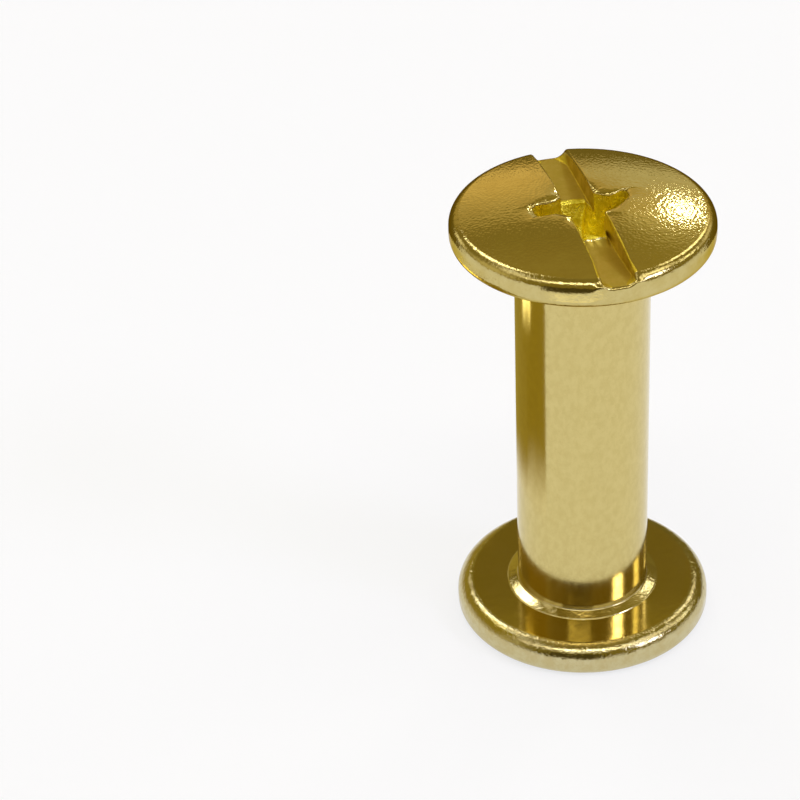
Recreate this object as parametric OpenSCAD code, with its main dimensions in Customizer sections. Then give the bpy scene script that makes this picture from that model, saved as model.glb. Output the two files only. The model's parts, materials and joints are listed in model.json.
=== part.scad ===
// Binding barrel screw, closed: a blind tapped barrel headed on a flat round
// flange, and a low-domed screw with a combined slot and cross recess.
// Millimetres, +Z up. The origin is the centre of the barrel head's outer face,
// which the closed pair stands on.

/* [Barrel] */
// Distance between the two heads with the screw home
grip_l = 15; // [13:0.5:60]
// Outside diameter of the barrel
barrel_d = 4.9; // [4.8:0.1:6]
// Thickness of the flat barrel head
barrel_head_t = 1.2; // [1:0.05:1.8]
// Width of the sloping ring round the foot of the barrel
foot_ring_w = 0.4; // [0.1:0.05:0.6]
// Height of that ring above the head
foot_ring_h = 0.15; // [0.1:0.05:0.5]
// Break of the barrel's outer edge at the mouth
mouth_edge_r = 0.1; // [0.05:0.05:0.15]

/* [Heads] */
// Diameter of both heads
head_d = 9.5; // [8.5:0.1:14]
// Height of the screw head from its seat to the edge of the dome
screw_rim_t = 1.05; // [0.9:0.05:1.4]
// Rise of the dome above its own edge
dome_h = 0.45; // [0.2:0.05:0.6]
// Rounding of the barrel head's edge on the grip side
barrel_rim_top_r = 0.6; // [0.1:0.05:0.6]
// Rounding of the barrel head's edge on the face it stands on
barrel_rim_foot_r = 0.4; // [0.1:0.05:0.4]
// Rounding between the screw head's dome and its side
screw_rim_top_r = 0.45; // [0.1:0.05:0.5]
// Rounding of the screw head's edge on the grip side
screw_rim_low_r = 0.4; // [0.1:0.05:0.4]

/* [Thread] */
// Nominal diameter of the thread
thread_d = 4; // [3.6:0.1:4]
// Length of the screw under its head
screw_l = 7.5; // [5:0.5:9]
// Length of the tapped stretch of the bore
tapped_l = 9.5; // [9.5:0.5:10]
// Metal left between the bottom of the bore and the barrel head's outer face
bore_floor_t = 2; // [1:0.1:2]
// Radial play between the screw's crests and the bore's roots
thread_play = 0.05; // [0.02:0.01:0.08]

/* [Driver recess] */
// Direction of the slot, turned from +X about +Z
slot_turn = 106; // [0:1:180]
// Width of the slot
slot_w = 1.2; // [0.8:0.1:1.6]
// Depth of the slot under the top of the dome
slot_depth = 0.85; // [0.6:0.05:0.95]
// Span of the cross recess, tip to tip, at the top of the dome
cross_span = 3.7; // [3.2:0.1:4.4]
// Width of a wing of the cross at its tip
cross_wing_w = 0.6; // [0.5:0.05:0.8]
// Radius of the hollow flare between two wings
cross_flare_r = 1.2; // [0.8:0.1:1.3]
// Depth of the cross recess to the foot of its wings
cross_depth = 1.7; // [1.4:0.1:1.9]

/* [Hidden] */

// Facets of a full turn
$fn = 96;
// Overshoot of every cut past the surface it opens
over = 0.5;
// Half angles of the wing ends, of the flare between the wings and of the pit's tip
WING_SLOPE = 26.5;
FLARE_SLOPE = 22;
PIT_TIP_SLOPE = 62;
// Half angle of a drilled hole's tip
DRILL_TIP = 59;
// Radial depth of a full thread
THREAD_DEPTH = 0.35;
// How far two cuts that meet end to end pass into each other, and the blunt end of the pit
LAP = 0.01;
PIT_END_R = 0.02;

head_r = head_d / 2;
barrel_r = barrel_d / 2;
seat_z = barrel_head_t + grip_l;
dome_edge_z = seat_z + screw_rim_t;
top_z = dome_edge_z + dome_h;
dome_r = (head_r * head_r + dome_h * dome_h) / (2 * dome_h);
dome_centre_z = top_z - dome_r;

root_r = thread_d / 2;
shank_r = root_r - thread_play;
tap_drill_r = root_r - THREAD_DEPTH;
mouth_chamfer = 0.15;
shank_fillet_r = 0.1;
shank_tip_chamfer = 0.45;
tap_drill_z = bore_floor_t + tap_drill_r / tan(DRILL_TIP);
tapped_z = seat_z - tapped_l;

flare_reach = cross_wing_w / 2 + cross_flare_r;
wing_foot_r = cross_span / 2 - cross_depth * tan(WING_SLOPE);
flare_foot_r = flare_reach - cross_depth * tan(FLARE_SLOPE);
pit_tip_h = wing_foot_r / tan(PIT_TIP_SLOPE);

// What lies outside an arc of radius r about c, from angle a0 to a1: cut away,
// it leaves a convex edge rounded. Both ends of the arc stay tangent.
module outside_arc(c, r, a0, a1) {
    reach = 2 * r;
    mid = (a0 + a1) / 2;
    translate(c) difference() {
        polygon([
            [0, 0],
            reach * [cos(a0), sin(a0)],
            reach * [cos(mid), sin(mid)],
            reach * [cos(a1), sin(a1)]
        ]);
        circle(r);
    }
}

// Half section of the barrel head: a disc with both outer edges rounded.
module barrel_head_section() {
    difference() {
        square([head_r, barrel_head_t]);
        outside_arc([head_r - barrel_rim_top_r, barrel_head_t - barrel_rim_top_r], barrel_rim_top_r, 0, 90);
        outside_arc([head_r - barrel_rim_foot_r, barrel_rim_foot_r], barrel_rim_foot_r, -90, 0);
    }
}

// Half section of the barrel's outside, with the sloping ring that joins it to the head.
module barrel_wall_section() {
    difference() {
        square([barrel_r, seat_z]);
        outside_arc([barrel_r - mouth_edge_r, seat_z - mouth_edge_r], mouth_edge_r, 0, 90);
    }
    translate([barrel_r, barrel_head_t]) polygon([[0, 0], [foot_ring_w, 0], [0, foot_ring_h]]);
}

// Half section of the blind bore: drill tip, tap drill, tapped stretch, chamfered mouth.
module bore_section() {
    polygon([
        [0, bore_floor_t],
        [tap_drill_r, tap_drill_z],
        [tap_drill_r, tapped_z - root_r + tap_drill_r],
        [root_r, tapped_z],
        [root_r, seat_z - mouth_chamfer],
        [root_r + mouth_chamfer, seat_z],
        [root_r + mouth_chamfer, seat_z + over],
        [0, seat_z + over]
    ]);
}

module barrel() {
    color("gold") rotate_extrude() difference() {
        union() {
            barrel_head_section();
            barrel_wall_section();
        }
        bore_section();
    }
}

// Half section of the screw head: flat seat, rounded rim and a low spherical dome.
module screw_head_section() {
    top_c_x = head_r - screw_rim_top_r;
    top_c_rise = sqrt(pow(dome_r - screw_rim_top_r, 2) - pow(top_c_x, 2));
    low_c = [head_r - screw_rim_low_r, seat_z + screw_rim_low_r];
    difference() {
        intersection() {
            translate([0, seat_z]) square([head_r, top_z - seat_z]);
            translate([0, dome_centre_z]) circle(dome_r, $fn = 720);
        }
        outside_arc([top_c_x, dome_centre_z + top_c_rise], screw_rim_top_r, 0, atan2(top_c_rise, top_c_x));
        outside_arc(low_c, screw_rim_low_r, -90, 0);
    }
}

// Half section of the shank: chamfered tip, thread envelope, fillet under the head.
module shank_section() {
    tip_z = seat_z - screw_l;
    polygon([
        [0, tip_z],
        [shank_r - shank_tip_chamfer, tip_z],
        [shank_r, tip_z + shank_tip_chamfer],
        [shank_r, seat_z + over],
        [0, seat_z + over]
    ]);
    translate([shank_r, seat_z - shank_fillet_r]) difference() {
        square(shank_fillet_r);
        translate([shank_fillet_r, 0]) circle(shank_fillet_r);
    }
}

// Straight slot across the whole head, along X before it is turned.
module slot_cut() {
    translate([-head_r - over, -slot_w / 2, top_z - slot_depth])
        cube([head_d + 2 * over, slot_w, slot_depth + over]);
}

// Outline of the four wings, and of the hollow-sided star that joins their roots.
module wing_outline() {
    for (turn = [0, 90])
        rotate(turn) square([cross_span + 2 * over, cross_wing_w], center = true);
}

module star_outline() {
    difference() {
        square(2 * flare_reach, center = true);
        for (sx = [-1, 1], sy = [-1, 1])
            translate(flare_reach * [sx, sy]) circle(cross_flare_r);
    }
}

// A straight funnel of slope s to the axis, foot_r wide at the foot of the wings.
module funnel(foot_r, s) {
    translate([0, 0, top_z - cross_depth])
        cylinder(h = cross_depth + over, r1 = foot_r, r2 = foot_r + (cross_depth + over) * tan(s));
}

// Cross recess: tapered wings, tapered star between them, blunt conical pit below.
module cross_cut() {
    wings_z = top_z - cross_depth;
    intersection() {
        translate([0, 0, wings_z]) linear_extrude(cross_depth + over) wing_outline();
        funnel(wing_foot_r, WING_SLOPE);
    }
    intersection() {
        translate([0, 0, wings_z]) linear_extrude(cross_depth + over) star_outline();
        funnel(flare_foot_r, FLARE_SLOPE);
    }
    intersection() {
        translate([0, 0, wings_z - pit_tip_h]) linear_extrude(pit_tip_h + LAP) union() {
            wing_outline();
            circle(flare_foot_r / 2);
        }
        translate([0, 0, wings_z - pit_tip_h]) cylinder(h = pit_tip_h + LAP, r1 = PIT_END_R, r2 = wing_foot_r);
    }
}

module screw() {
    color("goldenrod") difference() {
        rotate_extrude() {
            screw_head_section();
            shank_section();
        }
        rotate(slot_turn) {
            slot_cut();
            cross_cut();
        }
    }
}

barrel();
screw();
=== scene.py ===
"""Looks of a closed binding barrel screw in bright brass plating.

Two pieces are worked out here as closed skins: the barrel, with its flat head, foot ring and
tapped bore, and the domed screw, with its rolled thread and its combined slot and cross recess.
Sizes are in millimetres until a skin is put into its mesh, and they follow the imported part.
"""

import json
import logging
import math
from collections.abc import Callable
from dataclasses import dataclass, field
from enum import Enum

import bmesh
import bpy
import numpy as np
from mathutils import Matrix, Vector


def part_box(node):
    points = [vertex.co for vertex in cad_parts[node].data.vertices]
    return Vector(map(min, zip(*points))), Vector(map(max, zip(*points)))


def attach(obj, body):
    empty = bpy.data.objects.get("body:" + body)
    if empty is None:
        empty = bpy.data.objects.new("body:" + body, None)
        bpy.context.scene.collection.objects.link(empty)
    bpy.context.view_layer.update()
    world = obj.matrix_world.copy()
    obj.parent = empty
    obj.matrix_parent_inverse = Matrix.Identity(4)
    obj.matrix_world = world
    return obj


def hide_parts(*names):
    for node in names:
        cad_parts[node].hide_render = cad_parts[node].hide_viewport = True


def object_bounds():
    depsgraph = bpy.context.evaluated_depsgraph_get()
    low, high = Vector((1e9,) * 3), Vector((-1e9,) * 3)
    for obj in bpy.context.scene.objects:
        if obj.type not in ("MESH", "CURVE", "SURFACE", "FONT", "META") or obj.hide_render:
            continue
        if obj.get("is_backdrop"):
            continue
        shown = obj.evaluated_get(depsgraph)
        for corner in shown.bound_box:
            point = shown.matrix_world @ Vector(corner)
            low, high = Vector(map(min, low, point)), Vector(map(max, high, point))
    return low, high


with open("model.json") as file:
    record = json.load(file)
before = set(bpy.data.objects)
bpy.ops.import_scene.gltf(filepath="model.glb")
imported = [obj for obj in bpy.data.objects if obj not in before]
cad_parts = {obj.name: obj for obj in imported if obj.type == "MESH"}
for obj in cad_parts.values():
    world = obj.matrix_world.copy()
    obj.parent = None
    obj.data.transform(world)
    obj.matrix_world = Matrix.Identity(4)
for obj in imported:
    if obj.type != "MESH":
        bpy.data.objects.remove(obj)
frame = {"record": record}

log = logging.getLogger("binding_barrel_screw")

MM = 0.001
FULL_TURN = 2 * math.pi
WELD = 5e-8
WARM_WHITE = (1.0, 0.98, 0.94)
CARD_FOOT = (1.0, 0.98, 0.95)
CARD_BRASS = (0.38, 0.285, 0.035)
SCREEN_BRASS = (0.40, 0.305, 0.05)


# ---------------------------------------------------------------------------- sizes


@dataclass(frozen=True)
class PartSizes:
    """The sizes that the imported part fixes, in millimetres."""

    head_r: float
    barrel_r: float
    barrel_head_t: float
    seat_z: float
    top_z: float
    tip_z: float

    @classmethod
    def from_frame(cls) -> "PartSizes":
        """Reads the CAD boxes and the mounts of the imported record.

        Returns:
            The sizes that both pieces are built on.
        """
        mounts = {mount["name"]: mount for mount in frame["record"]["mounts"]}
        screw_low, screw_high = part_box("screw")
        clamp_z = mounts["barrel_clamp_face"]["pos_m"][2] / MM
        return cls(
            head_r=(screw_high.x - screw_low.x) / 2 / MM,
            barrel_r=mounts["grip_pin"]["dims"]["r_mm"],
            barrel_head_t=clamp_z,
            seat_z=clamp_z + mounts["grip_pin"]["mate_length_mm"],
            top_z=mounts["driver_recess"]["pos_m"][2] / MM,
            tip_z=screw_low.z / MM,
        )


# ---------------------------------------------------------------------------- skins


class Face(Enum):
    """Finish of a stretch of skin; the value is its material index."""

    DOME = 0
    RIM = 1
    RECESS = 2
    SLOT_FLOOR = 3
    SLOT_WALL = 4
    THREAD = 5
    WALL = 6
    FLANGE = 7
    FOOT_RIM = 8
    RING = 9
    BURR = 10


def grid_quads(rows: int, columns: int) -> np.ndarray:
    """Corner indices of the quads between neighbouring points of a grid, kept row by row.

    Args:
        rows: Number of rows of points.
        columns: Number of points in a row.

    Returns:
        Four indices for each quad.
    """
    index = np.arange(rows * columns).reshape(rows, columns)
    corners = [index[:-1, :-1], index[:-1, 1:], index[1:, 1:], index[1:, :-1]]
    return np.stack(corners, axis=-1).reshape(-1, 4)


def weld(mesh: bpy.types.Mesh) -> int:
    """Merges the points that meet and turns every face outward.

    Args:
        mesh: The mesh, which is changed.

    Returns:
        The number of edges left open.
    """
    body = bmesh.new()
    body.from_mesh(mesh)
    bmesh.ops.remove_doubles(body, verts=body.verts, dist=WELD)
    bmesh.ops.dissolve_degenerate(body, edges=body.edges, dist=WELD)
    bmesh.ops.recalc_face_normals(body, faces=body.faces)
    open_edges = sum(not edge.is_manifold for edge in body.edges)
    body.to_mesh(mesh)
    body.free()
    return open_edges


def add_object(name: str, data: bpy.types.ID) -> bpy.types.Object:
    """Puts new data into the scene as an object at the origin.

    Args:
        name: Name of the object.
        data: Its mesh, camera or light.

    Returns:
        The object.
    """
    made = bpy.data.objects.new(name, data)
    bpy.context.scene.collection.objects.link(made)
    return made


class Skin:
    """A closed skin, gathered from grids of points and welded where the grids meet."""

    def __init__(self) -> None:
        """Starts an empty skin."""
        self._points: list[np.ndarray] = []
        self._quads: list[np.ndarray] = []
        self._faces: list[np.ndarray] = []
        self._count = 0

    def add(self, grid: np.ndarray, face: Face) -> None:
        """Adds the quads between neighbouring points of a grid.

        Args:
            grid: Points in millimetres, as rows by columns by three.
            face: The finish of these quads.
        """
        rows, columns = grid.shape[:2]
        quads = self._count + grid_quads(rows, columns)
        self._points.append(grid.reshape(-1, 3))
        self._quads.append(quads)
        self._faces.append(np.full(len(quads), face.value))
        self._count += rows * columns

    def warp(self, change: Callable[[np.ndarray], np.ndarray]) -> None:
        """Moves every point gathered so far by a function of its place."""
        self._points = [change(points) for points in self._points]

    def build(self, name: str, sharp_angle: float) -> bpy.types.Object:
        """Puts the skin into a mesh, welds it and turns every face outward.

        Args:
            name: Name of the new object.
            sharp_angle: Edges that fold more than this, in radians, are shaded sharp.

        Returns:
            The object, at the origin, with its place in its mesh.
        """
        points = np.concatenate(self._points) * MM
        quads = np.concatenate(self._quads)
        mesh = bpy.data.meshes.new(name)
        mesh.vertices.add(len(points))
        mesh.vertices.foreach_set("co", points.ravel())
        mesh.loops.add(quads.size)
        mesh.loops.foreach_set("vertex_index", quads.ravel())
        mesh.polygons.add(len(quads))
        mesh.polygons.foreach_set("loop_start", np.arange(0, quads.size, 4))
        mesh.polygons.foreach_set("material_index", np.concatenate(self._faces))
        mesh.update(calc_edges=True)
        open_edges = weld(mesh)
        mesh.shade_smooth()
        mesh.set_sharp_from_angle(angle=sharp_angle)
        log.info("%s: %d faces, %d open edges", name, len(mesh.polygons), open_edges)
        return add_object(name, mesh)


def revolved(profile: np.ndarray, angles: np.ndarray) -> np.ndarray:
    """Revolves a profile: the point at row i, column j is (r_i cos a_j, r_i sin a_j, z_i).

    Args:
        profile: Radius and height of each row.
        angles: Direction of each column, in radians.

    Returns:
        A grid of points.
    """
    radius, height = profile[:, :1], profile[:, 1:]
    return np.stack(
        [
            radius * np.cos(angles),
            radius * np.sin(angles),
            np.broadcast_to(height, (len(profile), len(angles))),
        ],
        axis=-1,
    )


def arc(centre: tuple[float, float], radius: float, start: float, end: float, steps: int) -> np.ndarray:
    """Points on a round edge of a profile, both ends included.

    Args:
        centre: Radius and height of the arc's centre.
        radius: Radius of the arc.
        start: Direction of the first point, in degrees.
        end: Direction of the last point, in degrees.
        steps: Number of steps.

    Returns:
        The points, as rows of radius and height.
    """
    angle = np.radians(np.linspace(start, end, steps + 1))
    return np.stack([centre[0] + radius * np.cos(angle), centre[1] + radius * np.sin(angle)], axis=-1)


def eased(stretches: list[np.ndarray], ease: float = 0.03) -> np.ndarray:
    """Chains the stretches of a profile, with a row just inside both ends of each long gap.

    The extra rows keep a round edge from tinting the flat stretch beside it.

    Args:
        stretches: Points of each stretch, as rows of radius and height.
        ease: Distance of the extra rows from the ends of a gap.

    Returns:
        The whole profile.
    """
    points = np.concatenate(stretches)
    step = np.diff(points, axis=0)
    length = np.linalg.norm(step, axis=1, keepdims=True)
    keep = np.concatenate([[True], length[:, 0] > 1e-9])
    long_gap = length[:, 0] > 4 * ease
    unit = step / np.maximum(length, 1e-12)
    after = points[:-1] + ease * unit
    before = points[1:] - ease * unit
    gap = np.flatnonzero(long_gap)
    order = np.concatenate([np.arange(len(points)), gap + 1 / 3, gap + 2 / 3])
    every = np.concatenate([points, after[long_gap], before[long_gap]])
    keep = np.concatenate([keep, np.ones(2 * long_gap.sum(), bool)])
    ranked = np.argsort(order, kind="stable")
    return every[ranked][keep[ranked]]


def crowded(steps: int, start_pull: float, end_pull: float) -> np.ndarray:
    """Shares from 0 to 1 that lie closer together near both ends.

    The spacing at share u is 1 / (1 + a exp(-12 u) + b exp(-12 (1 - u))), summed and brought to 1.

    Args:
        steps: Number of steps.
        start_pull: How much closer they lie at the start, a above.
        end_pull: How much closer they lie at the end, b above.

    Returns:
        The shares, with 0 and 1 among them.
    """
    middle = (np.arange(steps) + 0.5) / steps
    near_start, near_end = np.exp(-12 * middle), np.exp(-12 * (1 - middle))
    spacing = 1 / (1 + start_pull * near_start + end_pull * near_end)
    shares = np.concatenate([[0.0], np.cumsum(spacing)])
    return shares / shares[-1]


def risen(value: np.ndarray, start: float, end: float) -> np.ndarray:
    """Smooth rise from 0 at a start to 1 at an end: 3 t^2 - 2 t^3 of the share t between them."""
    share = np.clip((value - start) / (end - start), 0, 1)
    return share * share * (3 - 2 * share)


def wander(count: int, reach: int, seed: int) -> np.ndarray:
    """Smooth noise along a row of points, about 1 high, from seeded draws under a bell.

    Args:
        count: Number of points.
        reach: Half width of the bell, in points.
        seed: Seed of the draws.

    Returns:
        One value for each point.
    """
    draws = np.random.default_rng(seed).standard_normal(count + 6 * reach)
    bell = np.exp(-0.5 * (np.arange(-3 * reach, 3 * reach + 1) / reach) ** 2)
    bell /= np.sqrt((bell**2).sum())
    return np.convolve(draws, bell, mode="valid")[:count]


@dataclass(frozen=True)
class ThreadForm:
    """A helical thread, shared by the screw and the bore so that their turns lie in phase."""

    pitch: float = 0.7
    crest_share: float = 0.14
    root_share: float = 0.26
    rows_per_turn: int = 10

    def groove(self, phase: np.ndarray) -> np.ndarray:
        """Depth of the groove at a phase: 0 on the crest, 1 at the root, straight flanks between.

        Args:
            phase: Turns along the axis from the middle of a crest.

        Returns:
            The depth, from 0 to 1.
        """
        from_crest = np.abs((phase + 0.5) % 1.0 - 0.5)
        flank = 0.5 - self.crest_share / 2 - self.root_share / 2
        return np.clip((from_crest - self.crest_share / 2) / flank, 0, 1)

    def surface(
        self, angles: np.ndarray, low: float, high: float, blank_r: float, depth: float
    ) -> np.ndarray:
        """The threaded surface between two heights, on rows that follow the helix.

        A point lies at height h = start + pitch (row / rows_per_turn + angle / full turn). Its
        radius leaves the blank radius by the groove's depth, which fades in over one pitch from
        each end. Rows past an end are gathered on the blank circle there.

        Args:
            angles: Direction of each column over one full turn, the last being the first again.
            low: Height at which the thread starts.
            high: Height at which it ends.
            blank_r: Radius of the blank at both ends.
            depth: How far the thread leaves the blank radius, towards the axis.

        Returns:
            A grid of points, whose last column lies one turn above its first.
        """
        lowest_turn = math.floor(low / self.pitch) - 1
        turns = math.ceil(high / self.pitch) - lowest_turn + 2
        row = np.arange(turns * self.rows_per_turn + 1)[:, None] / self.rows_per_turn
        height = self.pitch * (lowest_turn - 1 + row + angles[None, :] / FULL_TURN)
        fade = np.clip(np.minimum(height - low, high - height) / self.pitch, 0, 1)
        fade = risen(fade, 0.0, 1.0)
        radius = blank_r - depth * self.groove(row % 1.0) * fade
        height = np.clip(height, low, high)
        return np.stack([radius * np.cos(angles), radius * np.sin(angles), height], axis=-1)


# ---------------------------------------------------------------------------- barrel


@dataclass
class BarrelPost:
    """The blind tapped barrel on its flat round head."""

    sizes: PartSizes
    thread: ThreadForm
    rim_top_r: float = 0.6
    rim_foot_r: float = 0.4
    ring_w: float = 0.4
    ring_h: float = 0.15
    ring_fillet_r: float = 0.07
    step_h: float = 0.03
    step_r: float = 0.03
    step_slope: float = 46.0
    mouth_edge_r: float = 0.1
    mouth_chamfer: float = 0.15
    root_r: float = 2.0
    bore_r: float = 1.65
    bore_floor: float = 2.0
    drill_tip: float = math.radians(59)
    tapped_l: float = 9.5
    clamp_w: float = 0.45
    columns: int = 256
    wall_rows: int = 25

    def angles(self) -> np.ndarray:
        """Directions of the columns, the last being the first again."""
        return np.linspace(0, FULL_TURN, self.columns + 1)

    def head_profile(self) -> dict[Face, np.ndarray]:
        """Outside of the head: the face it stands on, its rim, and the face it clamps with.

        Returns:
            The rows of each finish, from the axis underneath to the foot ring.
        """
        head_r, thick = self.sizes.head_r, self.sizes.barrel_head_t
        foot = arc((head_r - self.rim_foot_r, self.rim_foot_r), self.rim_foot_r, -90, 0, 14)
        top = arc((head_r - self.rim_top_r, thick - self.rim_top_r), self.rim_top_r, 0, 90, 14)
        under = eased([np.array([[0.0, 0.0], [head_r / 2, 0.0]]), foot[:1]])
        clamp_r = self.sizes.barrel_r + self.ring_w + self.clamp_w
        clamp = eased([top[-1:], np.array([[clamp_r, thick]])])
        return {Face.FLANGE: under, Face.RIM: eased([foot, top]), Face.WALL: clamp}

    def ring_profile(self) -> np.ndarray:
        """The foot ring: a small steep step up from the clamp face, a low cone, and the fillet.

        Each crease is an arc tangent to the straight stretches beside it: hollow at the foot of
        the step and against the barrel, rounded over on top of the step.

        Returns:
            The rows, from the clamp face to just above the ring.
        """
        barrel_r, thick = self.sizes.barrel_r, self.sizes.barrel_head_t
        steep = math.radians(self.step_slope)
        run = self.step_h / math.tan(steep)
        low_slope = math.atan2(self.ring_h - self.step_h, self.ring_w - run)
        foot = np.array([barrel_r + self.ring_w, thick])
        top = foot + [-run, self.step_h]
        reach = self.step_r * math.tan(steep / 2)
        low_centre = (foot[0] + reach, thick + self.step_r)
        low = arc(low_centre, self.step_r, -90, -90 - self.step_slope, 6)
        reach = self.step_r * math.tan((steep - low_slope) / 2)
        along = np.array([-math.cos(low_slope), math.sin(low_slope)])
        under = np.array([-math.sin(low_slope), -math.cos(low_slope)])
        top_centre = top + along * reach + under * self.step_r
        over = arc(tuple(top_centre), self.step_r, 90 - self.step_slope, 90 - math.degrees(low_slope), 6)
        turn = math.pi / 2 - low_slope
        reach = self.ring_fillet_r * math.tan(turn / 2)
        high_centre = (barrel_r + self.ring_fillet_r, thick + self.ring_h + reach)
        high = arc(high_centre, self.ring_fillet_r, -90 - math.degrees(low_slope), -180, 8)
        return eased([low, over, high], ease=0.015)

    def mouth_profile(self) -> np.ndarray:
        """The barrel's wall, its mouth and the chamfer down into the thread.

        Returns:
            The rows, from the wall over the mouth to the thread.
        """
        barrel_r, seat = self.sizes.barrel_r, self.sizes.seat_z
        edge = arc((barrel_r - self.mouth_edge_r, seat - self.mouth_edge_r), self.mouth_edge_r, 0, 90, 8)
        inner = [self.root_r, seat - self.mouth_chamfer]
        chamfer = np.array([[self.root_r + self.mouth_chamfer, seat], inner])
        return eased([edge, chamfer])

    def wall_profile(self, foot: np.ndarray, mouth: np.ndarray) -> np.ndarray:
        """The plain wall between the foot ring and the mouth, in even rows."""
        heights = np.linspace(foot[1], mouth[1], self.wall_rows)
        return eased([np.stack([np.full(self.wall_rows, self.sizes.barrel_r), heights], axis=-1)])

    def bore_profile(self, tapped_z: float) -> np.ndarray:
        """The tap drill's hole under the thread, down to the tip of its cone.

        Args:
            tapped_z: Height at which the tapped stretch ends.

        Returns:
            The rows, down to the axis.
        """
        shoulder = [self.bore_r, tapped_z - (self.root_r - self.bore_r)]
        foot = [self.bore_r, self.bore_floor + self.bore_r / math.tan(self.drill_tip)]
        return np.array([[self.root_r, tapped_z], shoulder, foot, [0.0, self.bore_floor]])

    def build(self) -> bpy.types.Object:
        """Builds the barrel's skin.

        Returns:
            The finished piece.
        """
        skin = Skin()
        angles = self.angles()
        head = self.head_profile()
        ring = self.ring_profile()
        mouth = self.mouth_profile()
        tapped_z = self.sizes.seat_z - self.tapped_l
        skin.add(revolved(head[Face.FLANGE], angles), Face.FLANGE)
        skin.add(revolved(head[Face.RIM], angles), Face.FOOT_RIM)
        skin.add(revolved(head[Face.WALL], angles), Face.FLANGE)
        skin.add(revolved(eased([head[Face.WALL][-1:], ring[:1]]), angles), Face.FLANGE)
        skin.add(revolved(ring, angles), Face.RING)
        skin.add(revolved(self.wall_profile(ring[-1], mouth[0]), angles), Face.WALL)
        skin.add(revolved(mouth, angles), Face.RIM)
        thread = self.thread.surface(
            angles, tapped_z, mouth[-1][1], self.root_r, self.root_r - self.bore_r
        )
        skin.add(thread, Face.THREAD)
        skin.add(revolved(self.bore_profile(tapped_z), angles), Face.THREAD)
        return skin.build("barrel_post", math.radians(32))


# ---------------------------------------------------------------------------- driver recess


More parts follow.
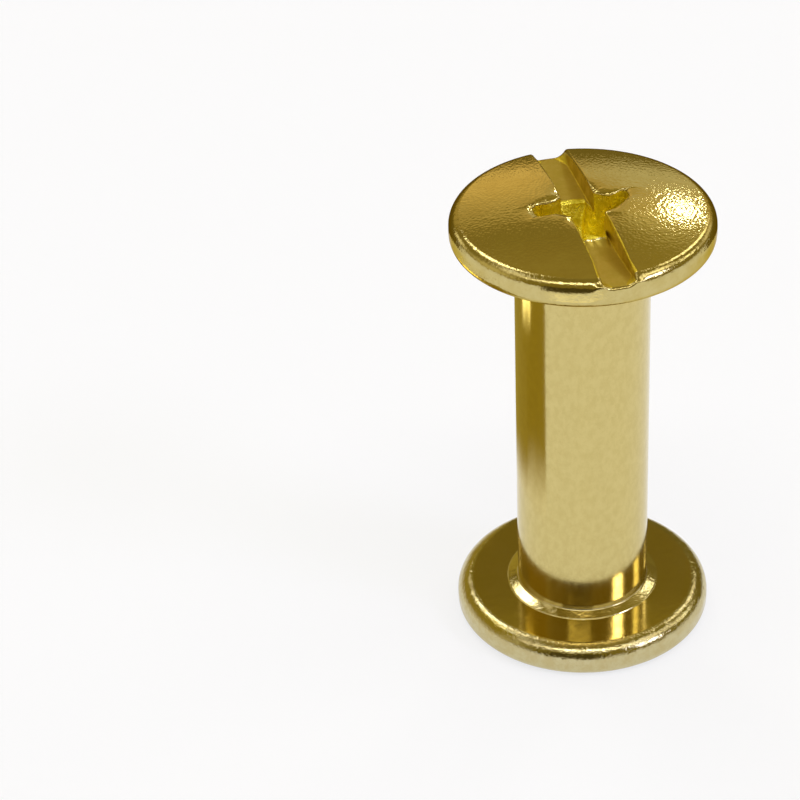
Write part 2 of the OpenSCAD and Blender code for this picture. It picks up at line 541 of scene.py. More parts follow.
@dataclass
class RecessOutline:
    """Plan of the combined recess at any depth: a slot along X and a cross with hollow flares.

    A quarter runs from the middle of the wing tip on +Y to the slot, or on to the wing on +X.
    Every point keeps its place in the order of the stretches while the depth changes, so that
    rows at different depths line up. Depths are measured from the top of the dome.
    """

    slot_half: float = 0.6
    slot_depth: float = 0.85
    wing_reach: float = 1.85
    wing_half: float = 0.31
    wing_broad: float = 0.575
    wing_draft: float = math.tan(math.radians(26.5))
    side_draft: float = 0.035
    flare_r: float = 1.2
    flare_draft: float = 0.318
    tip_corner_r: float = 0.09
    mouth_corner_r: float = 0.15
    cross_depth: float = 1.7
    pit_tip: float = 0.53
    tip_steps: int = 6
    corner_steps: int = 6
    side_steps: int = 8
    flare_steps: int = 22
    mouth_steps: int = 8
    slot_steps: int = 40
    end_steps: int = 6

    def half(self, depth: np.ndarray) -> np.ndarray:
        """Half width of a wing at a depth."""
        return self.wing_half - self.side_draft * depth

    def flare(self, depth: np.ndarray) -> np.ndarray:
        """Radius of the hollow between two wings at a depth."""
        return self.flare_r - self.flare_draft * depth

    def tip(self, depth: np.ndarray) -> np.ndarray:
        """Reach of the wing tips at a depth."""
        return self.wing_reach - self.wing_draft * depth

    def corner_y(self, depth: np.ndarray) -> np.ndarray:
        """Where the centre of a wing's rounded corner lies along the wing.

        Args:
            depth: Depth of each point.

        Returns:
            The distance from the axis.
        """
        reach = self.tip(depth) - self.tip_corner_r
        across = self.half(depth) - self.tip_corner_r
        return np.sqrt(reach**2 - across**2)

    def mouth_x(self, depth: np.ndarray) -> np.ndarray:
        """Where the rounding between flare and slot touches the slot's wall.

        Args:
            depth: Depth of each point.

        Returns:
            The distance from the axis along the slot.
        """
        centre = self.half(depth) + self.flare(depth)
        inner = self.flare(depth) - self.mouth_corner_r
        drop = centre - self.slot_half - self.mouth_corner_r
        return centre - np.sqrt(inner**2 - drop**2)

    def mouth_angle(self, depth: np.ndarray) -> np.ndarray:
        """Direction on the flare's circle at which that rounding begins.

        Args:
            depth: Depth of each point.

        Returns:
            The direction, in radians.
        """
        centre = self.half(depth) + self.flare(depth)
        sideways = self.mouth_x(depth) - centre
        return FULL_TURN + np.arctan2(self.slot_half + self.mouth_corner_r - centre, sideways)

    @staticmethod
    def _round(
        centre: tuple[np.ndarray, np.ndarray], radius: np.ndarray, angle: np.ndarray, side: float
    ) -> np.ndarray:
        """Points on a circle, with the side that faces the land: columns x, y, nx, ny.

        Args:
            centre: Place x, y of the circle's centre.
            radius: Radius of the circle.
            angle: Direction of each point.
            side: 1 where the land lies outside the circle, -1 where it lies inside.

        Returns:
            One row of four for each point.
        """
        cos, sin = np.cos(angle), np.sin(angle)
        x, y = centre[0] + radius * cos, centre[1] + radius * sin
        return np.stack([x, y, side * cos, side * sin], axis=-1)

    def _tip_arc(self, depth: np.ndarray, share: np.ndarray) -> np.ndarray:
        """The end of a wing, a stretch of the circle that the tips lie on.

        Args:
            depth: Depth of each point.
            share: Place of each point along the stretch, from 0 to 1.

        Returns:
            Columns x, y, nx, ny for each point.
        """
        last = np.arctan2(self.corner_y(depth), self.half(depth) - self.tip_corner_r)
        angle = math.pi / 2 + (last - math.pi / 2) * share
        zero = np.zeros_like(angle)
        return self._round((zero, zero), self.tip(depth), angle, 1.0)

    def _corner_arc(self, depth: np.ndarray, share: np.ndarray) -> np.ndarray:
        """The rounded corner between a wing's end and its side.

        Args:
            depth: Depth of each point.
            share: Place of each point along the stretch, from 0 to 1.

        Returns:
            Columns x, y, nx, ny for each point.
        """
        first = np.arctan2(self.corner_y(depth), self.half(depth) - self.tip_corner_r)
        centre = (self.half(depth) - self.tip_corner_r, self.corner_y(depth))
        return self._round(centre, self.tip_corner_r, first * (1 - share), 1.0)

    def _side_line(self, depth: np.ndarray, share: np.ndarray) -> np.ndarray:
        """The straight side of a wing, from its corner to its root.

        Args:
            depth: Depth of each point.
            share: Place of each point along the stretch, from 0 to 1.

        Returns:
            Columns x, y, nx, ny for each point.
        """
        root = self.half(depth) + self.flare(depth)
        along = self.corner_y(depth) + (root - self.corner_y(depth)) * share
        one = np.ones_like(along)
        return np.stack([self.half(depth) * one, along, one, 0 * one], axis=-1)

    def _flare_arc(
        self, depth: np.ndarray, first: np.ndarray, last: np.ndarray, share: np.ndarray
    ) -> np.ndarray:
        """The hollow between two wings, from one direction on its circle to another.

        Args:
            depth: Depth of each point.
            first: Direction of the stretch's start.
            last: Direction of its end.
            share: Place of each point along the stretch, from 0 to 1.

        Returns:
            Columns x, y, nx, ny for each point.
        """
        centre = self.half(depth) + self.flare(depth)
        return self._round((centre, centre), self.flare(depth), first + (last - first) * share, -1.0)

    def _mouth_arc(self, depth: np.ndarray, share: np.ndarray) -> np.ndarray:
        """The rounding between a flare and the slot's wall.

        Args:
            depth: Depth of each point.
            share: Place of each point along the stretch, from 0 to 1.

        Returns:
            Columns x, y, nx, ny for each point.
        """
        first = self.mouth_angle(depth)
        angle = first + (1.5 * math.pi - first) * share
        centre = (self.mouth_x(depth), self.slot_half + self.mouth_corner_r + 0 * angle)
        return self._round(centre, self.mouth_corner_r, angle, -1.0)

    def _slot_line(self, depth: np.ndarray, share: np.ndarray, end_x: np.ndarray) -> np.ndarray:
        """The slot's wall, from the rounding to its end.

        Args:
            depth: Depth of each point.
            share: Place of each point along the stretch, from 0 to 1.
            end_x: Where the slot's wall ends.

        Returns:
            Columns x, y, nx, ny for each point.
        """
        start = self.mouth_x(depth)
        along = start + (end_x - start) * share
        one = np.ones_like(along)
        return np.stack([along, self.slot_half * one, 0 * one, one], axis=-1)

    @staticmethod
    def shares(steps: int) -> np.ndarray:
        """Even shares of a stretch, without its first point."""
        return np.arange(1, steps + 1) / steps

    def slot_shares(self) -> np.ndarray:
        """Shares along the slot's wall, closer together near the cross and at the end."""
        return crowded(self.slot_steps, 2.5, 2.5)[1:]

    def mouth_quarter(self, depth: np.ndarray, end_x: float) -> np.ndarray:
        """A quarter of the outline above the slot's floor: wing, flare, rounding, slot wall.

        Args:
            depth: Depth of each point, as rows by columns.
            end_x: Where the slot's wall ends.

        Returns:
            Columns x, y, nx, ny for each point, n pointing into the land.
        """
        counts = [self.corner_steps, self.side_steps, self.flare_steps, self.mouth_steps]
        counts = [1 + self.tip_steps, *counts]
        tip, corner, side, flare, mouth, slot = np.split(depth, np.cumsum(counts), axis=1)
        first = np.concatenate([[0.0], self.shares(self.tip_steps)])
        return np.concatenate(
            [
                self._tip_arc(tip, first),
                self._corner_arc(corner, self.shares(self.corner_steps)),
                self._side_line(side, self.shares(self.side_steps)),
                self._flare_arc(flare, math.pi, self.mouth_angle(flare), self.shares(self.flare_steps)),
                self._mouth_arc(mouth, self.shares(self.mouth_steps)),
                self._slot_line(slot, self.slot_shares(), end_x),
            ],
            axis=1,
        )

    def pit_quarter(self, depth: float) -> np.ndarray:
        """A quarter of the outline below the slot's floor: wing, flare and the wing on +X.

        Args:
            depth: Depth of the whole quarter.

        Returns:
            Points x, y, first the stretches that carry the outline above, then the rest.
        """
        row = np.full((1, 1), depth)
        split = self.mouth_angle(np.full((1, 1), self.slot_depth))
        mirror_steps = self.tip_steps + self.corner_steps + self.side_steps
        hidden_steps = self.mouth_steps + self.slot_steps + self.end_steps - mirror_steps
        first = np.concatenate([[0.0], self.shares(self.tip_steps)])
        wing = np.concatenate(
            [
                self._tip_arc(row + 0 * first, first),
                self._corner_arc(row, self.shares(self.corner_steps)[None, :]),
                self._side_line(row, self.shares(self.side_steps)[None, :]),
            ],
            axis=1,
        )[0, :, :2]
        flare = self._flare_arc(row, math.pi, split, self.shares(self.flare_steps)[None, :])[0, :, :2]
        hidden = self._flare_arc(row, split, 1.5 * math.pi, self.shares(hidden_steps)[None, :])[0, :, :2]
        other_wing = wing[-2::-1, ::-1]
        return np.concatenate([wing, flare, hidden, other_wing])

    def broad_quarter(self, depth: float) -> np.ndarray:
        """The pit's outline at a depth with the wing along the slot widened towards the slot's walls.

        From the corner with the slot's wall on, y goes to y * broad / half up to the wing's half
        width and runs evenly from broad to the corner's own y above it.

        Args:
            depth: Depth under the dome's top.

        Returns:
            Points x, y of one quarter.
        """
        points = self.pit_quarter(depth).copy()
        beside = points[self.visible_count - 1 :, 1]
        half, broad = self.wing_half, self.wing_broad
        above = broad + (beside - half) * (beside[0] - broad) / (beside[0] - half)
        points[self.visible_count - 1 :, 1] = np.where(beside > half, above, beside * broad / half)
        return points

    @property
    def visible_count(self) -> int:
        """Number of points of a pit quarter that the outline above the floor shares."""
        return 1 + self.tip_steps + self.corner_steps + self.side_steps + self.flare_steps


# ---------------------------------------------------------------------------- domed screw


@dataclass
class DomedScrew:
    """The screw: a low dome with a slot and cross recess, a rounded rim and a rolled shank."""

    sizes: PartSizes
    thread: ThreadForm
    outline: RecessOutline = field(default_factory=RecessOutline)
    slot_turn: float = math.radians(106)
    dome_h: float = 0.45
    rim_top_r: float = 0.45
    rim_low_r: float = 0.4
    edge_r: float = 0.045
    pit_edge_r: float = 0.07
    burr_h: tuple[float, float] = (0.045, 0.13)
    burr_reach: float = 0.09
    burr_mean: float = 0.6
    burr_most: float = 1.25
    burr_waves: tuple[float, float] = (0.9, 0.35)
    burr_calm: float = 0.12
    burr_start: float = 0.3
    burr_rows: int = 9
    pit_edge_share: float = 0.3
    least_edge_r: float = 0.03
    edge_room: float = 0.01
    edge_rounds: int = 6
    nick_h: float = 0.007
    nick_fade: float = 6.0
    fine_tear: float = 0.4
    corner_fade: float = 8.0
    end_edge_r: float = 0.11
    end_swell: tuple[float, float] = (0.8, 0.84)
    end_lift: float = 0.18
    lift_along: tuple[float, float] = (1.7, 4.6)
    lift_across: tuple[float, float] = (0.12, 0.5)
    lift_rooms: tuple[float, float, float] = (0.03, 0.02, 0.15)
    floor_corner_r: float = 0.025
    end_corner_r: float = 0.34
    cross_edge_r: tuple[float, float] = (0.09, 0.042)
    cross_edge_ragged: float = 0.016
    cross_fade: float = 0.14
    cross_sag: float = 0.055
    sag_unevenness: float = 0.35
    sag_reach: float = 0.16
    skews: tuple[tuple[float, float, float, float], ...] = (
        (0.52, -0.1, -1.9, 0.62),
        (-0.28, -0.5, -1.15, 0.42),
        (0.18, 0.35, 1.3, 0.6),
        (0.28, -1.4, 0.0, 0.5),
    )
    skew_heights: tuple[float, float] = (0.2, 0.6)
    skew_core: tuple[float, float] = (1.2, 1.6)
    shank_r: float = 1.95
    shank_fillet_r: float = 0.1
    thread_depth: float = 0.43
    tip_chamfer: float = 0.45
    edge_seeds: tuple[int, int] = (11, 29)
    burr_seed: int = 50
    edge_steps: int = 8
    dome_steps: int = 40
    round_steps: int = 12
    side_steps: int = 6
    pit_round_rows: int = 6
    floor_rows: int = 19
    pit_rows: int = 11
    tip_rows: int = 9

    def __post_init__(self) -> None:
        """Works out the dome's sphere and the circle where the rim's rounding begins."""
        head_r = self.sizes.head_r
        self.dome_r = (head_r**2 + self.dome_h**2) / (2 * self.dome_h)
        self.dome_centre = self.sizes.top_z - self.dome_r
        self.round_x = head_r - self.rim_top_r
        rise = math.sqrt((self.dome_r - self.rim_top_r) ** 2 - self.round_x**2)
        self.round_z = self.dome_centre + rise
        self.round_start = math.atan2(rise, self.round_x)
        self.land_r = self.dome_r * math.cos(self.round_start)
        self.floor_z = self.sizes.top_z - self.outline.slot_depth

    # -- sections of the head

    def shoulder(self, side_low: np.ndarray) -> tuple[np.ndarray, ...]:
        """Profile from the dome's edge over the rim's rounding and down the side.

        Args:
            side_low: Height at which the side ends, one for each row wanted.

        Returns:
            Radius, height, and the outward direction's radial and vertical shares.
        """
        turn = np.linspace(self.round_start, 0, self.round_steps + 1)
        down = np.sin(math.pi / 2 * np.arange(1, self.side_steps + 1) / self.side_steps)
        low = np.asarray(side_low, float)[..., None]
        flat = np.ones_like(low)
        round_r = flat * (self.round_x + self.rim_top_r * np.cos(turn))
        round_height = flat * (self.round_z + self.rim_top_r * np.sin(turn))
        side_height = self.round_z + (low - self.round_z) * down
        radius = np.concatenate([round_r, flat * self.sizes.head_r + 0 * down], axis=-1)
        height = np.concatenate([round_height, side_height], axis=-1)
        out_r = np.concatenate([flat * np.cos(turn), flat + 0 * down], axis=-1)
        out_z = np.concatenate([flat * np.sin(turn), 0 * flat * down], axis=-1)
        return radius, height, out_r, out_z

    def slot_reach(self, height: np.ndarray, offset: np.ndarray, corner: np.ndarray) -> np.ndarray:
        """Half width of the slot's round-cornered section at a height, moved out by an offset.

        Above the corner it is the slot's half width plus the offset. Beside the corner it is
        half width - corner + sqrt((corner + offset)^2 - (floor + corner - height)^2).

        Args:
            height: Height of each point.
            offset: How far outside the section the point lies.
            corner: Radius of the corner between wall and floor.

        Returns:
            The distance from the slot's middle plane.
        """
        below = np.maximum(self.floor_z + corner - height, 0)
        rest = np.maximum((corner + offset) ** 2 - below**2, 0)
        return self.outline.slot_half - corner + np.sqrt(rest)

    def edge_turn(self) -> tuple[np.ndarray, np.ndarray]:
        """Shares of a rounded edge's offset and drop, from the wall to the land.

        Returns:
            1 - cos a and 1 - sin a for angles a from 0 to a right angle.
        """
        angle = np.linspace(0, math.pi / 2, self.edge_steps + 1)
        return 1 - np.cos(angle), 1 - np.sin(angle)

    def on_dome(self, plan: np.ndarray, drop: np.ndarray, sag: np.ndarray) -> np.ndarray:
        """Lifts plan points onto the dome, then lowers them along its normal and along the axis.

        Args:
            plan: Points x, y.
            drop: Distance under the dome along its normal.
            sag: Further distance straight down.

        Returns:
            Points x, y, z.
        """
        rise = np.sqrt(self.dome_r**2 - (plan**2).sum(-1))
        shrink = 1 - drop / self.dome_r
        height = self.dome_centre + rise * shrink - sag
        return np.concatenate([plan * shrink[..., None], height[..., None]], axis=-1)

    # -- the half of the land beside the slot

    def half_outline(self, depth: np.ndarray, end_x: float) -> np.ndarray:
        """The recess outline on the +Y side, from the slot's end on +X to its end on -X.

        Args:
            depth: Depth of each point, as rows by columns.
            end_x: Where the slot's wall ends.

        Returns:
            Columns x, y, nx, ny for each point.
        """
        right, left = np.split(depth, [depth.shape[1] // 2], axis=1)
        from_middle = np.concatenate([right, left[:, :1]], axis=1)[:, ::-1]
        quarter_right = self.outline.mouth_quarter(from_middle, end_x)
        quarter_left = self.outline.mouth_quarter(left, end_x) * np.array([-1, 1, -1, 1])
        return np.concatenate([quarter_right[:, ::-1], quarter_left[:, 1:]], axis=1)

    def end_strip(self) -> np.ndarray:
        """The rounded edge of the slot's wall where it runs over the rim and down the side.

        Row a follows the slot's section moved out by offset(a). Its points are the shoulder's,
        moved in from the head's surface along its normal by drop(a), down to the floor less
        offset(a).

        Returns:
            A grid from the wall to the land, for the quarter of +X and +Y.
        """
        offset, drop = (self.end_edge_r * share for share in self.edge_turn())
        radius, height, out_r, out_z = self.shoulder(self.floor_z - offset)
        y = self.slot_reach(height, offset[:, None], self.end_corner_r)
        x = np.sqrt(radius**2 - y**2)
        inward = drop[:, None]
        return np.stack(
            [x - inward * out_r * x / radius, y - inward * out_r * y / radius, height - inward * out_z],
            axis=-1,
        )

    def floor_strip(self) -> np.ndarray:
        """The rounded edge of the slot's floor, from its corner to the middle of the slot.

        Returns:
            A grid for the quarter of +X and +Y.
        """
        offset, drop = (self.end_edge_r * share for share in self.edge_turn())
        share = 1 - np.arange(self.outline.end_steps + 1) / self.outline.end_steps
        y = (self.outline.slot_half - self.end_corner_r + 0 * offset)[:, None] * share
        x = np.sqrt(self.sizes.head_r**2 - y**2)
        shrink = 1 - drop[:, None] / self.sizes.head_r
        height = np.broadcast_to((self.floor_z - offset)[:, None], y.shape)
        return np.stack([x * shrink, y * shrink, height], axis=-1)

    def land_half(self, seed: int, cross_edge: float) -> tuple[np.ndarray, np.ndarray, np.ndarray]:
        """The land on the +Y side of the slot, and the recess wall under its edge.

        Columns run along the recess outline. Rows go over the rounded edge, across the dome to
        evenly shared places on the rim, over the rim's rounding and down the side. Near the
        cross the edge is broader and ragged, and the dome sinks by sag exp(-distance / reach).

        Args:
            seed: Seed of the ragged edge.
            cross_edge: Radius of the rounded edge beside the cross.

        Returns:
            The dome's grid, the rim's grid and the wall's grid.
        """
        outline = self.outline
        steps = outline.visible_count - 1 + outline.mouth_steps + outline.slot_steps
        count = 2 * steps + 1
        slot_share = np.concatenate([np.zeros(steps - outline.slot_steps), outline.slot_shares()])
        slot_share = np.concatenate([slot_share[::-1], [0.0], slot_share])
        near_cross = np.exp(-((slot_share / self.cross_fade) ** 2))
        torn = wander(count, 3, seed) + self.fine_tear * wander(count, 1, seed + 1)
        ragged = self.cross_edge_ragged * torn
        away = (1 - near_cross) * np.clip((1 - slot_share) * self.nick_fade, 0, 1)
        nicks = self.nick_h * np.abs(wander(count, 2, seed + 2)) * away
        edge = self.edge_r + (cross_edge - self.edge_r + ragged) * near_cross + nicks
        edge = edge + (self.end_edge_r - self.edge_r) * risen(slot_share, self.end_swell[0], 1.0)
        edge = np.clip(edge, self.least_edge_r, outline.mouth_corner_r - self.edge_room)
        sink = self.cross_sag * near_cross * (1 + self.sag_unevenness * wander(count, 5, seed + 3))
        offset_share, drop_share = self.edge_turn()

        end_x = math.sqrt(self.land_r**2 - outline.slot_half**2)
        depth = np.full((1, count), 0.1)
        for _ in range(self.edge_rounds):
            plan = self.half_outline(depth, end_x)
            top_row = self.on_dome(plan[..., :2], edge[None, :], sink[None, :])
            depth = self.sizes.top_z - top_row[..., 2]
        plan, facing = plan[0, :, :2], plan[0, :, 2:]

        offset = edge * offset_share[:, None]
        edge_plan = plan + facing * offset[..., None]
        reach = np.sqrt(self.land_r**2 - (outline.slot_half + offset) ** 2) - end_x
        side = np.concatenate([np.ones(steps), [0.0], -np.ones(steps)])
        edge_plan[..., 0] += reach * slot_share * side
        edge_rows = self.on_dome(edge_plan, edge * drop_share[:, None], sink * np.ones_like(offset))

        inner = edge_plan[-1]
        along = np.concatenate([[0.0], np.cumsum(np.linalg.norm(np.diff(plan, axis=0), axis=1))])
        first_angle = math.asin((outline.slot_half + self.end_edge_r) / self.land_r)
        angle = first_angle + (math.pi - 2 * first_angle) * along / along[-1]
        rim_plan = self.land_r * np.stack([np.cos(angle), np.sin(angle)], axis=-1)
        share = crowded(self.dome_steps, 9.0, 9.0)[1:, None, None]
        dome_plan = inner + (rim_plan - inner) * share
        distance = np.linalg.norm(dome_plan - inner, axis=-1)
        sag = sink * np.exp(-distance / self.sag_reach)
        sag *= 1 - share[..., 0]
        dome_rows = self.on_dome(dome_plan, np.zeros_like(sag), sag)
        dome = np.concatenate([edge_rows, dome_rows])

        low = np.full(1, self.floor_z - self.end_edge_r)
        radius, height, _, _ = (row[0][:, None] for row in self.shoulder(low))
        reach = self.slot_reach(height, self.end_edge_r, self.end_corner_r)
        bend = np.arcsin(reach / radius) - first_angle
        angle = angle + bend * (1 - 2 * along / along[-1])
        rim = np.stack([radius * np.cos(angle), radius * np.sin(angle), height + 0 * angle], axis=-1)
        rim[0] = dome[-1]

        wall = self.wall_rows(edge_rows[0], depth, end_x, slot_share)
        return dome, rim, wall

    def wall_rows(
        self, top: np.ndarray, depth: np.ndarray, end_x: float, slot_share: np.ndarray
    ) -> np.ndarray:
        """The recess wall from its rounded edge down to the level of the slot's floor.

        Each column follows the outline as the depth grows, eased into the edge above. Towards
        the slot's ends the columns lean out to meet the rounded end of the wall.

        Args:
            top: The wall's top row.
            depth: Depth of each column's top.
            end_x: Where the wall's outline ends.
            slot_share: Share of each column along the slot's wall, 0 on the cross.

        Returns:
            A grid of points.
        """
        end = self.end_strip()[0]
        fall = (end[0, 2] - end[:, 2]) / (end[0, 2] - end[-1, 2])
        level = depth + (self.outline.slot_depth - depth) * fall[:, None]
        plan = self.half_outline(level, end_x)[..., :2]
        first = self.half_outline(depth, end_x)[0, :, :2]
        plan = plan + (top[:, :2] - first) * (1 - fall)[:, None, None]
        corner = self.floor_corner_r * np.minimum(self.corner_fade * slot_share, 1)
        swell = risen(slot_share, self.end_swell[1], 1.0)
        corner = corner + (self.end_corner_r - self.floor_corner_r) * swell
        reach = self.slot_reach(self.sizes.top_z - level, 0.0, corner)
        plan[..., 1] += (reach - self.outline.slot_half) * (slot_share > 0)
        right = (end[:, :2] - plan[:, 0])[:, None] * slot_share[:, None]
        left = (end[:, :2] * [-1, 1] - plan[:, -1])[:, None] * slot_share[:, None]
        on_right = (np.arange(len(slot_share)) < len(slot_share) // 2)[:, None]
        plan = plan + np.where(on_right, right, left)
        return np.concatenate([plan, (self.sizes.top_z - level)[..., None]], axis=-1)

    # -- floor and pit

    def pit_edge(self, wall: np.ndarray, strip: np.ndarray) -> tuple[np.ndarray, np.ndarray, np.ndarray]:
        """The slot floor's inner and outer outline, and the rounding of its edge along the pit.

        The rounding is at most a set share of the distance between the two outlines, so that it
        dies out in the corner where they meet.

        Args:
            wall: The wall's bottom row, from the slot's end on +X.
            strip: The floor's end edge, from its corner to the middle of the slot.

        Returns:
            The inner and the outer outline, and the rounding's radius at each point.
        """
        outline = self.outline
        inner = outline.broad_quarter(outline.slot_depth)[outline.visible_count - 1 :]
        reach = outline.mouth_steps + outline.slot_steps
        outer = np.concatenate([wall[: reach + 1][::-1, :2], strip[1:, :2]])
        distance = np.linalg.norm(outer - inner, axis=-1)
        return inner, outer, np.minimum(self.pit_edge_r, self.pit_edge_share * distance)

    def floor_quarter(self, wall: np.ndarray, strip: np.ndarray, seed: int, burr_h: float) -> np.ndarray:
        """The slot's floor from the pit's rounded edge to the wall's foot and the slot's end.

        Each point is on a straight line from a point of the pit to one of the outer edge. Along
        the pit the punch has raised a ragged burr, of height burr t exp(1 - t), where t is the
        distance from the rounded edge over the burr's reach.

        Args:
            wall: The wall's bottom row, from the slot's end on +X.
            strip: The floor's end edge, from its corner to the middle of the slot.
            seed: Seed of the burr.
            burr_h: Mean height of the burr.

        Returns:
            A grid of points for the quarter of +X and +Y.
        """
        inner, outer, edge = self.pit_edge(wall, strip)
        distance = np.linalg.norm(outer - inner, axis=-1)
        way = (outer - inner) / np.maximum(distance, 1e-9)[:, None]
        turn = np.linspace(0, math.pi / 2, self.pit_round_rows)[:, None]
        start = self.pit_points(edge)[:, : len(edge)]
        round_plan = start + way * (edge * (1 - np.cos(turn)))[..., None]
        round_low = edge * (1 - np.sin(turn))
        share = np.linspace(0, 1, self.floor_rows)[1:, None, None] ** 2
        flat_plan = round_plan[-1] + (outer - round_plan[-1]) * share
        away = (distance - edge) * share[..., 0] / self.burr_reach
        place = np.linspace(0, 1, len(edge))
        free = risen(np.minimum(place, 1 - place), 0.0, self.burr_calm)
        broad, fine = self.burr_waves
        torn = broad * wander(len(edge), 6, seed) + fine * wander(len(edge), 2, seed + 1)
        ragged = np.clip(self.burr_mean + free * torn, 0, self.burr_most)
        ragged = ragged * risen(place, 0.0, self.burr_start)
        ragged = ragged * edge / self.pit_edge_r
        burr = burr_h * ragged * away * np.exp(1 - away) * (1 - share[..., 0])
        plan = np.concatenate([round_plan, flat_plan])
        low = np.concatenate([round_low, -burr])
        return np.concatenate([plan, (self.floor_z - low)[..., None]], axis=-1)

    def pit_points(self, drop: np.ndarray) -> np.ndarray:
        """Plan places on the pit's drafted wall beside the floor, at a drop under the floor.

        The draft is straight, so they lie on the line from the floor's level to the wings' foot.

        Args:
            drop: Distance under the floor of each point of the outline.

        Returns:
            One row of points x, y.
        """
        outline = self.outline
        high = outline.broad_quarter(outline.slot_depth)[outline.visible_count - 1 :]
        low = outline.pit_quarter(outline.cross_depth)[outline.visible_count - 1 :]
        share = drop / (outline.cross_depth - outline.slot_depth)
        return (high + (low - high) * share[:, None])[None]

    @staticmethod
    def _ring(quarter: np.ndarray) -> np.ndarray:
        """A quarter outline mirrored to the whole ring, with its first point repeated."""
        half = np.concatenate([quarter, quarter[-2::-1] * [1, -1]])
        return np.concatenate([half, -half[1:]])

    def pit(self, edge: np.ndarray) -> tuple[np.ndarray, np.ndarray]:
        """The pit below the slot's floor: drafted walls, then a blunt tip under their foot.

        Args:
            edge: Rounding of the edge between floor and pit, at the points beside the floor.

        Returns:
            The walls' grid and the tip's grid, which ends in one point.
        """
        outline = self.outline
        deep = outline.cross_depth - outline.slot_depth
        drop = np.concatenate([np.zeros(outline.visible_count - 1), edge])
        drop = np.concatenate([drop, drop[-2::-1]])
        drop = np.concatenate([drop, drop[1:]])
        high = self._ring(outline.broad_quarter(outline.slot_depth))
        low = self._ring(outline.pit_quarter(outline.cross_depth))
        share = drop / deep + (1 - drop / deep) * np.linspace(0, 1, self.pit_rows)[:, None]
        plan = high + (low - high) * share[..., None]
        walls = np.concatenate([plan, (self.floor_z - deep * share)[..., None]], axis=-1)
        fall = np.linspace(0, 1, self.tip_rows)[:, None, None]
        tip = walls[-1] * (1 - fall) + fall * [0, 0, walls[-1, 0, 2] - outline.pit_tip]
        return walls, tip

    def lifted(self, points: np.ndarray) -> np.ndarray:
        """The slot's floor and foot of its walls, raised a little towards its end on the -X side.

        The rise is lift * along * across * up, three smooth shares: along the slot from a third
        of the radius to the rim, across from the walls outward, and up to nothing at the dome's
        edge and at the lower rim.

        Args:
            points: Points of the head, after its turn.

        Returns:
            The points, moved along the axis.
        """
        cos, sin = math.cos(self.slot_turn), math.sin(self.slot_turn)
        along = -(points[:, 0] * cos + points[:, 1] * sin)
        across = np.abs(points[:, 1] * cos - points[:, 0] * sin)
        half, height = self.outline.slot_half, points[:, 2]
        dome_edge = self.sizes.top_z - self.dome_h
        above = risen(height, self.floor_z + self.lift_rooms[0], dome_edge - self.lift_rooms[1])
        below = risen(-height, -self.floor_z + self.end_edge_r, -self.sizes.seat_z - self.lift_rooms[2])
        beside = risen(across, half + self.lift_across[0], half + self.lift_across[1])
        share = risen(along, *self.lift_along) * (1 - beside)
        rise = self.end_lift * share * (1 - above) * (1 - below)
        return points + np.stack([0 * rise, 0 * rise, rise], axis=-1)

    def skewed(self, points: np.ndarray) -> np.ndarray:
        """The cross recess pushed out of true along the slot, as an uneven punch leaves it.

        Each push moves a point along the slot by amount exp(-(distance / reach)^2), where the
        distance is to the push's centre in plan. Only the land, the walls and the pit move: the
        push dies out below the middle of the head, save within the pit.

        Args:
            points: Points of the head, after its turn.

        Returns:
            The points, moved along the slot.
        """
        cos, sin = math.cos(self.slot_turn), math.sin(self.slot_turn)
        along = points[:, 0] * cos + points[:, 1] * sin
        across = points[:, 1] * cos - points[:, 0] * sin
        amount, mid_along, mid_across, reach = (np.array(column) for column in zip(*self.skews))
        gap = np.hypot(along[:, None] - mid_along, across[:, None] - mid_across) / reach
        push = (amount * np.exp(-(gap**2))).sum(axis=1)
        above = risen(points[:, 2] - self.sizes.seat_z, *self.skew_heights)
        inside = 1 - risen(np.hypot(along, across), *self.skew_core)
        push = push * np.maximum(above, inside)
        return points + np.stack([push * cos, push * sin, 0 * push], axis=-1)

    # -- lower rim and shank

    def lower_profile(self) -> np.ndarray:
        """The side below the slot's floor, the rounded lower edge, the seat and the fillet.

        Returns:
            The rows, from the side to the shank.
        """
        head_r, seat = self.sizes.head_r, self.sizes.seat_z
        side = np.array([[head_r, self.floor_z - self.end_edge_r]])
        edge = arc((head_r - self.rim_low_r, seat + self.rim_low_r), self.rim_low_r, 0, -90, 14)
        fillet_centre = (self.shank_r + self.shank_fillet_r, seat - self.shank_fillet_r)
        fillet = arc(fillet_centre, self.shank_fillet_r, 90, 180, 6)
        return eased([side, edge, fillet])

    def tip_profile(self) -> np.ndarray:
        """The chamfered tip of the shank, down to the axis.

        Returns:
            The rows, from the shank to the axis.
        """
        tip = self.sizes.tip_z
        flat_r = self.shank_r - self.tip_chamfer
        return np.array([[self.shank_r, tip + self.tip_chamfer], [flat_r, tip], [0.0, tip]])

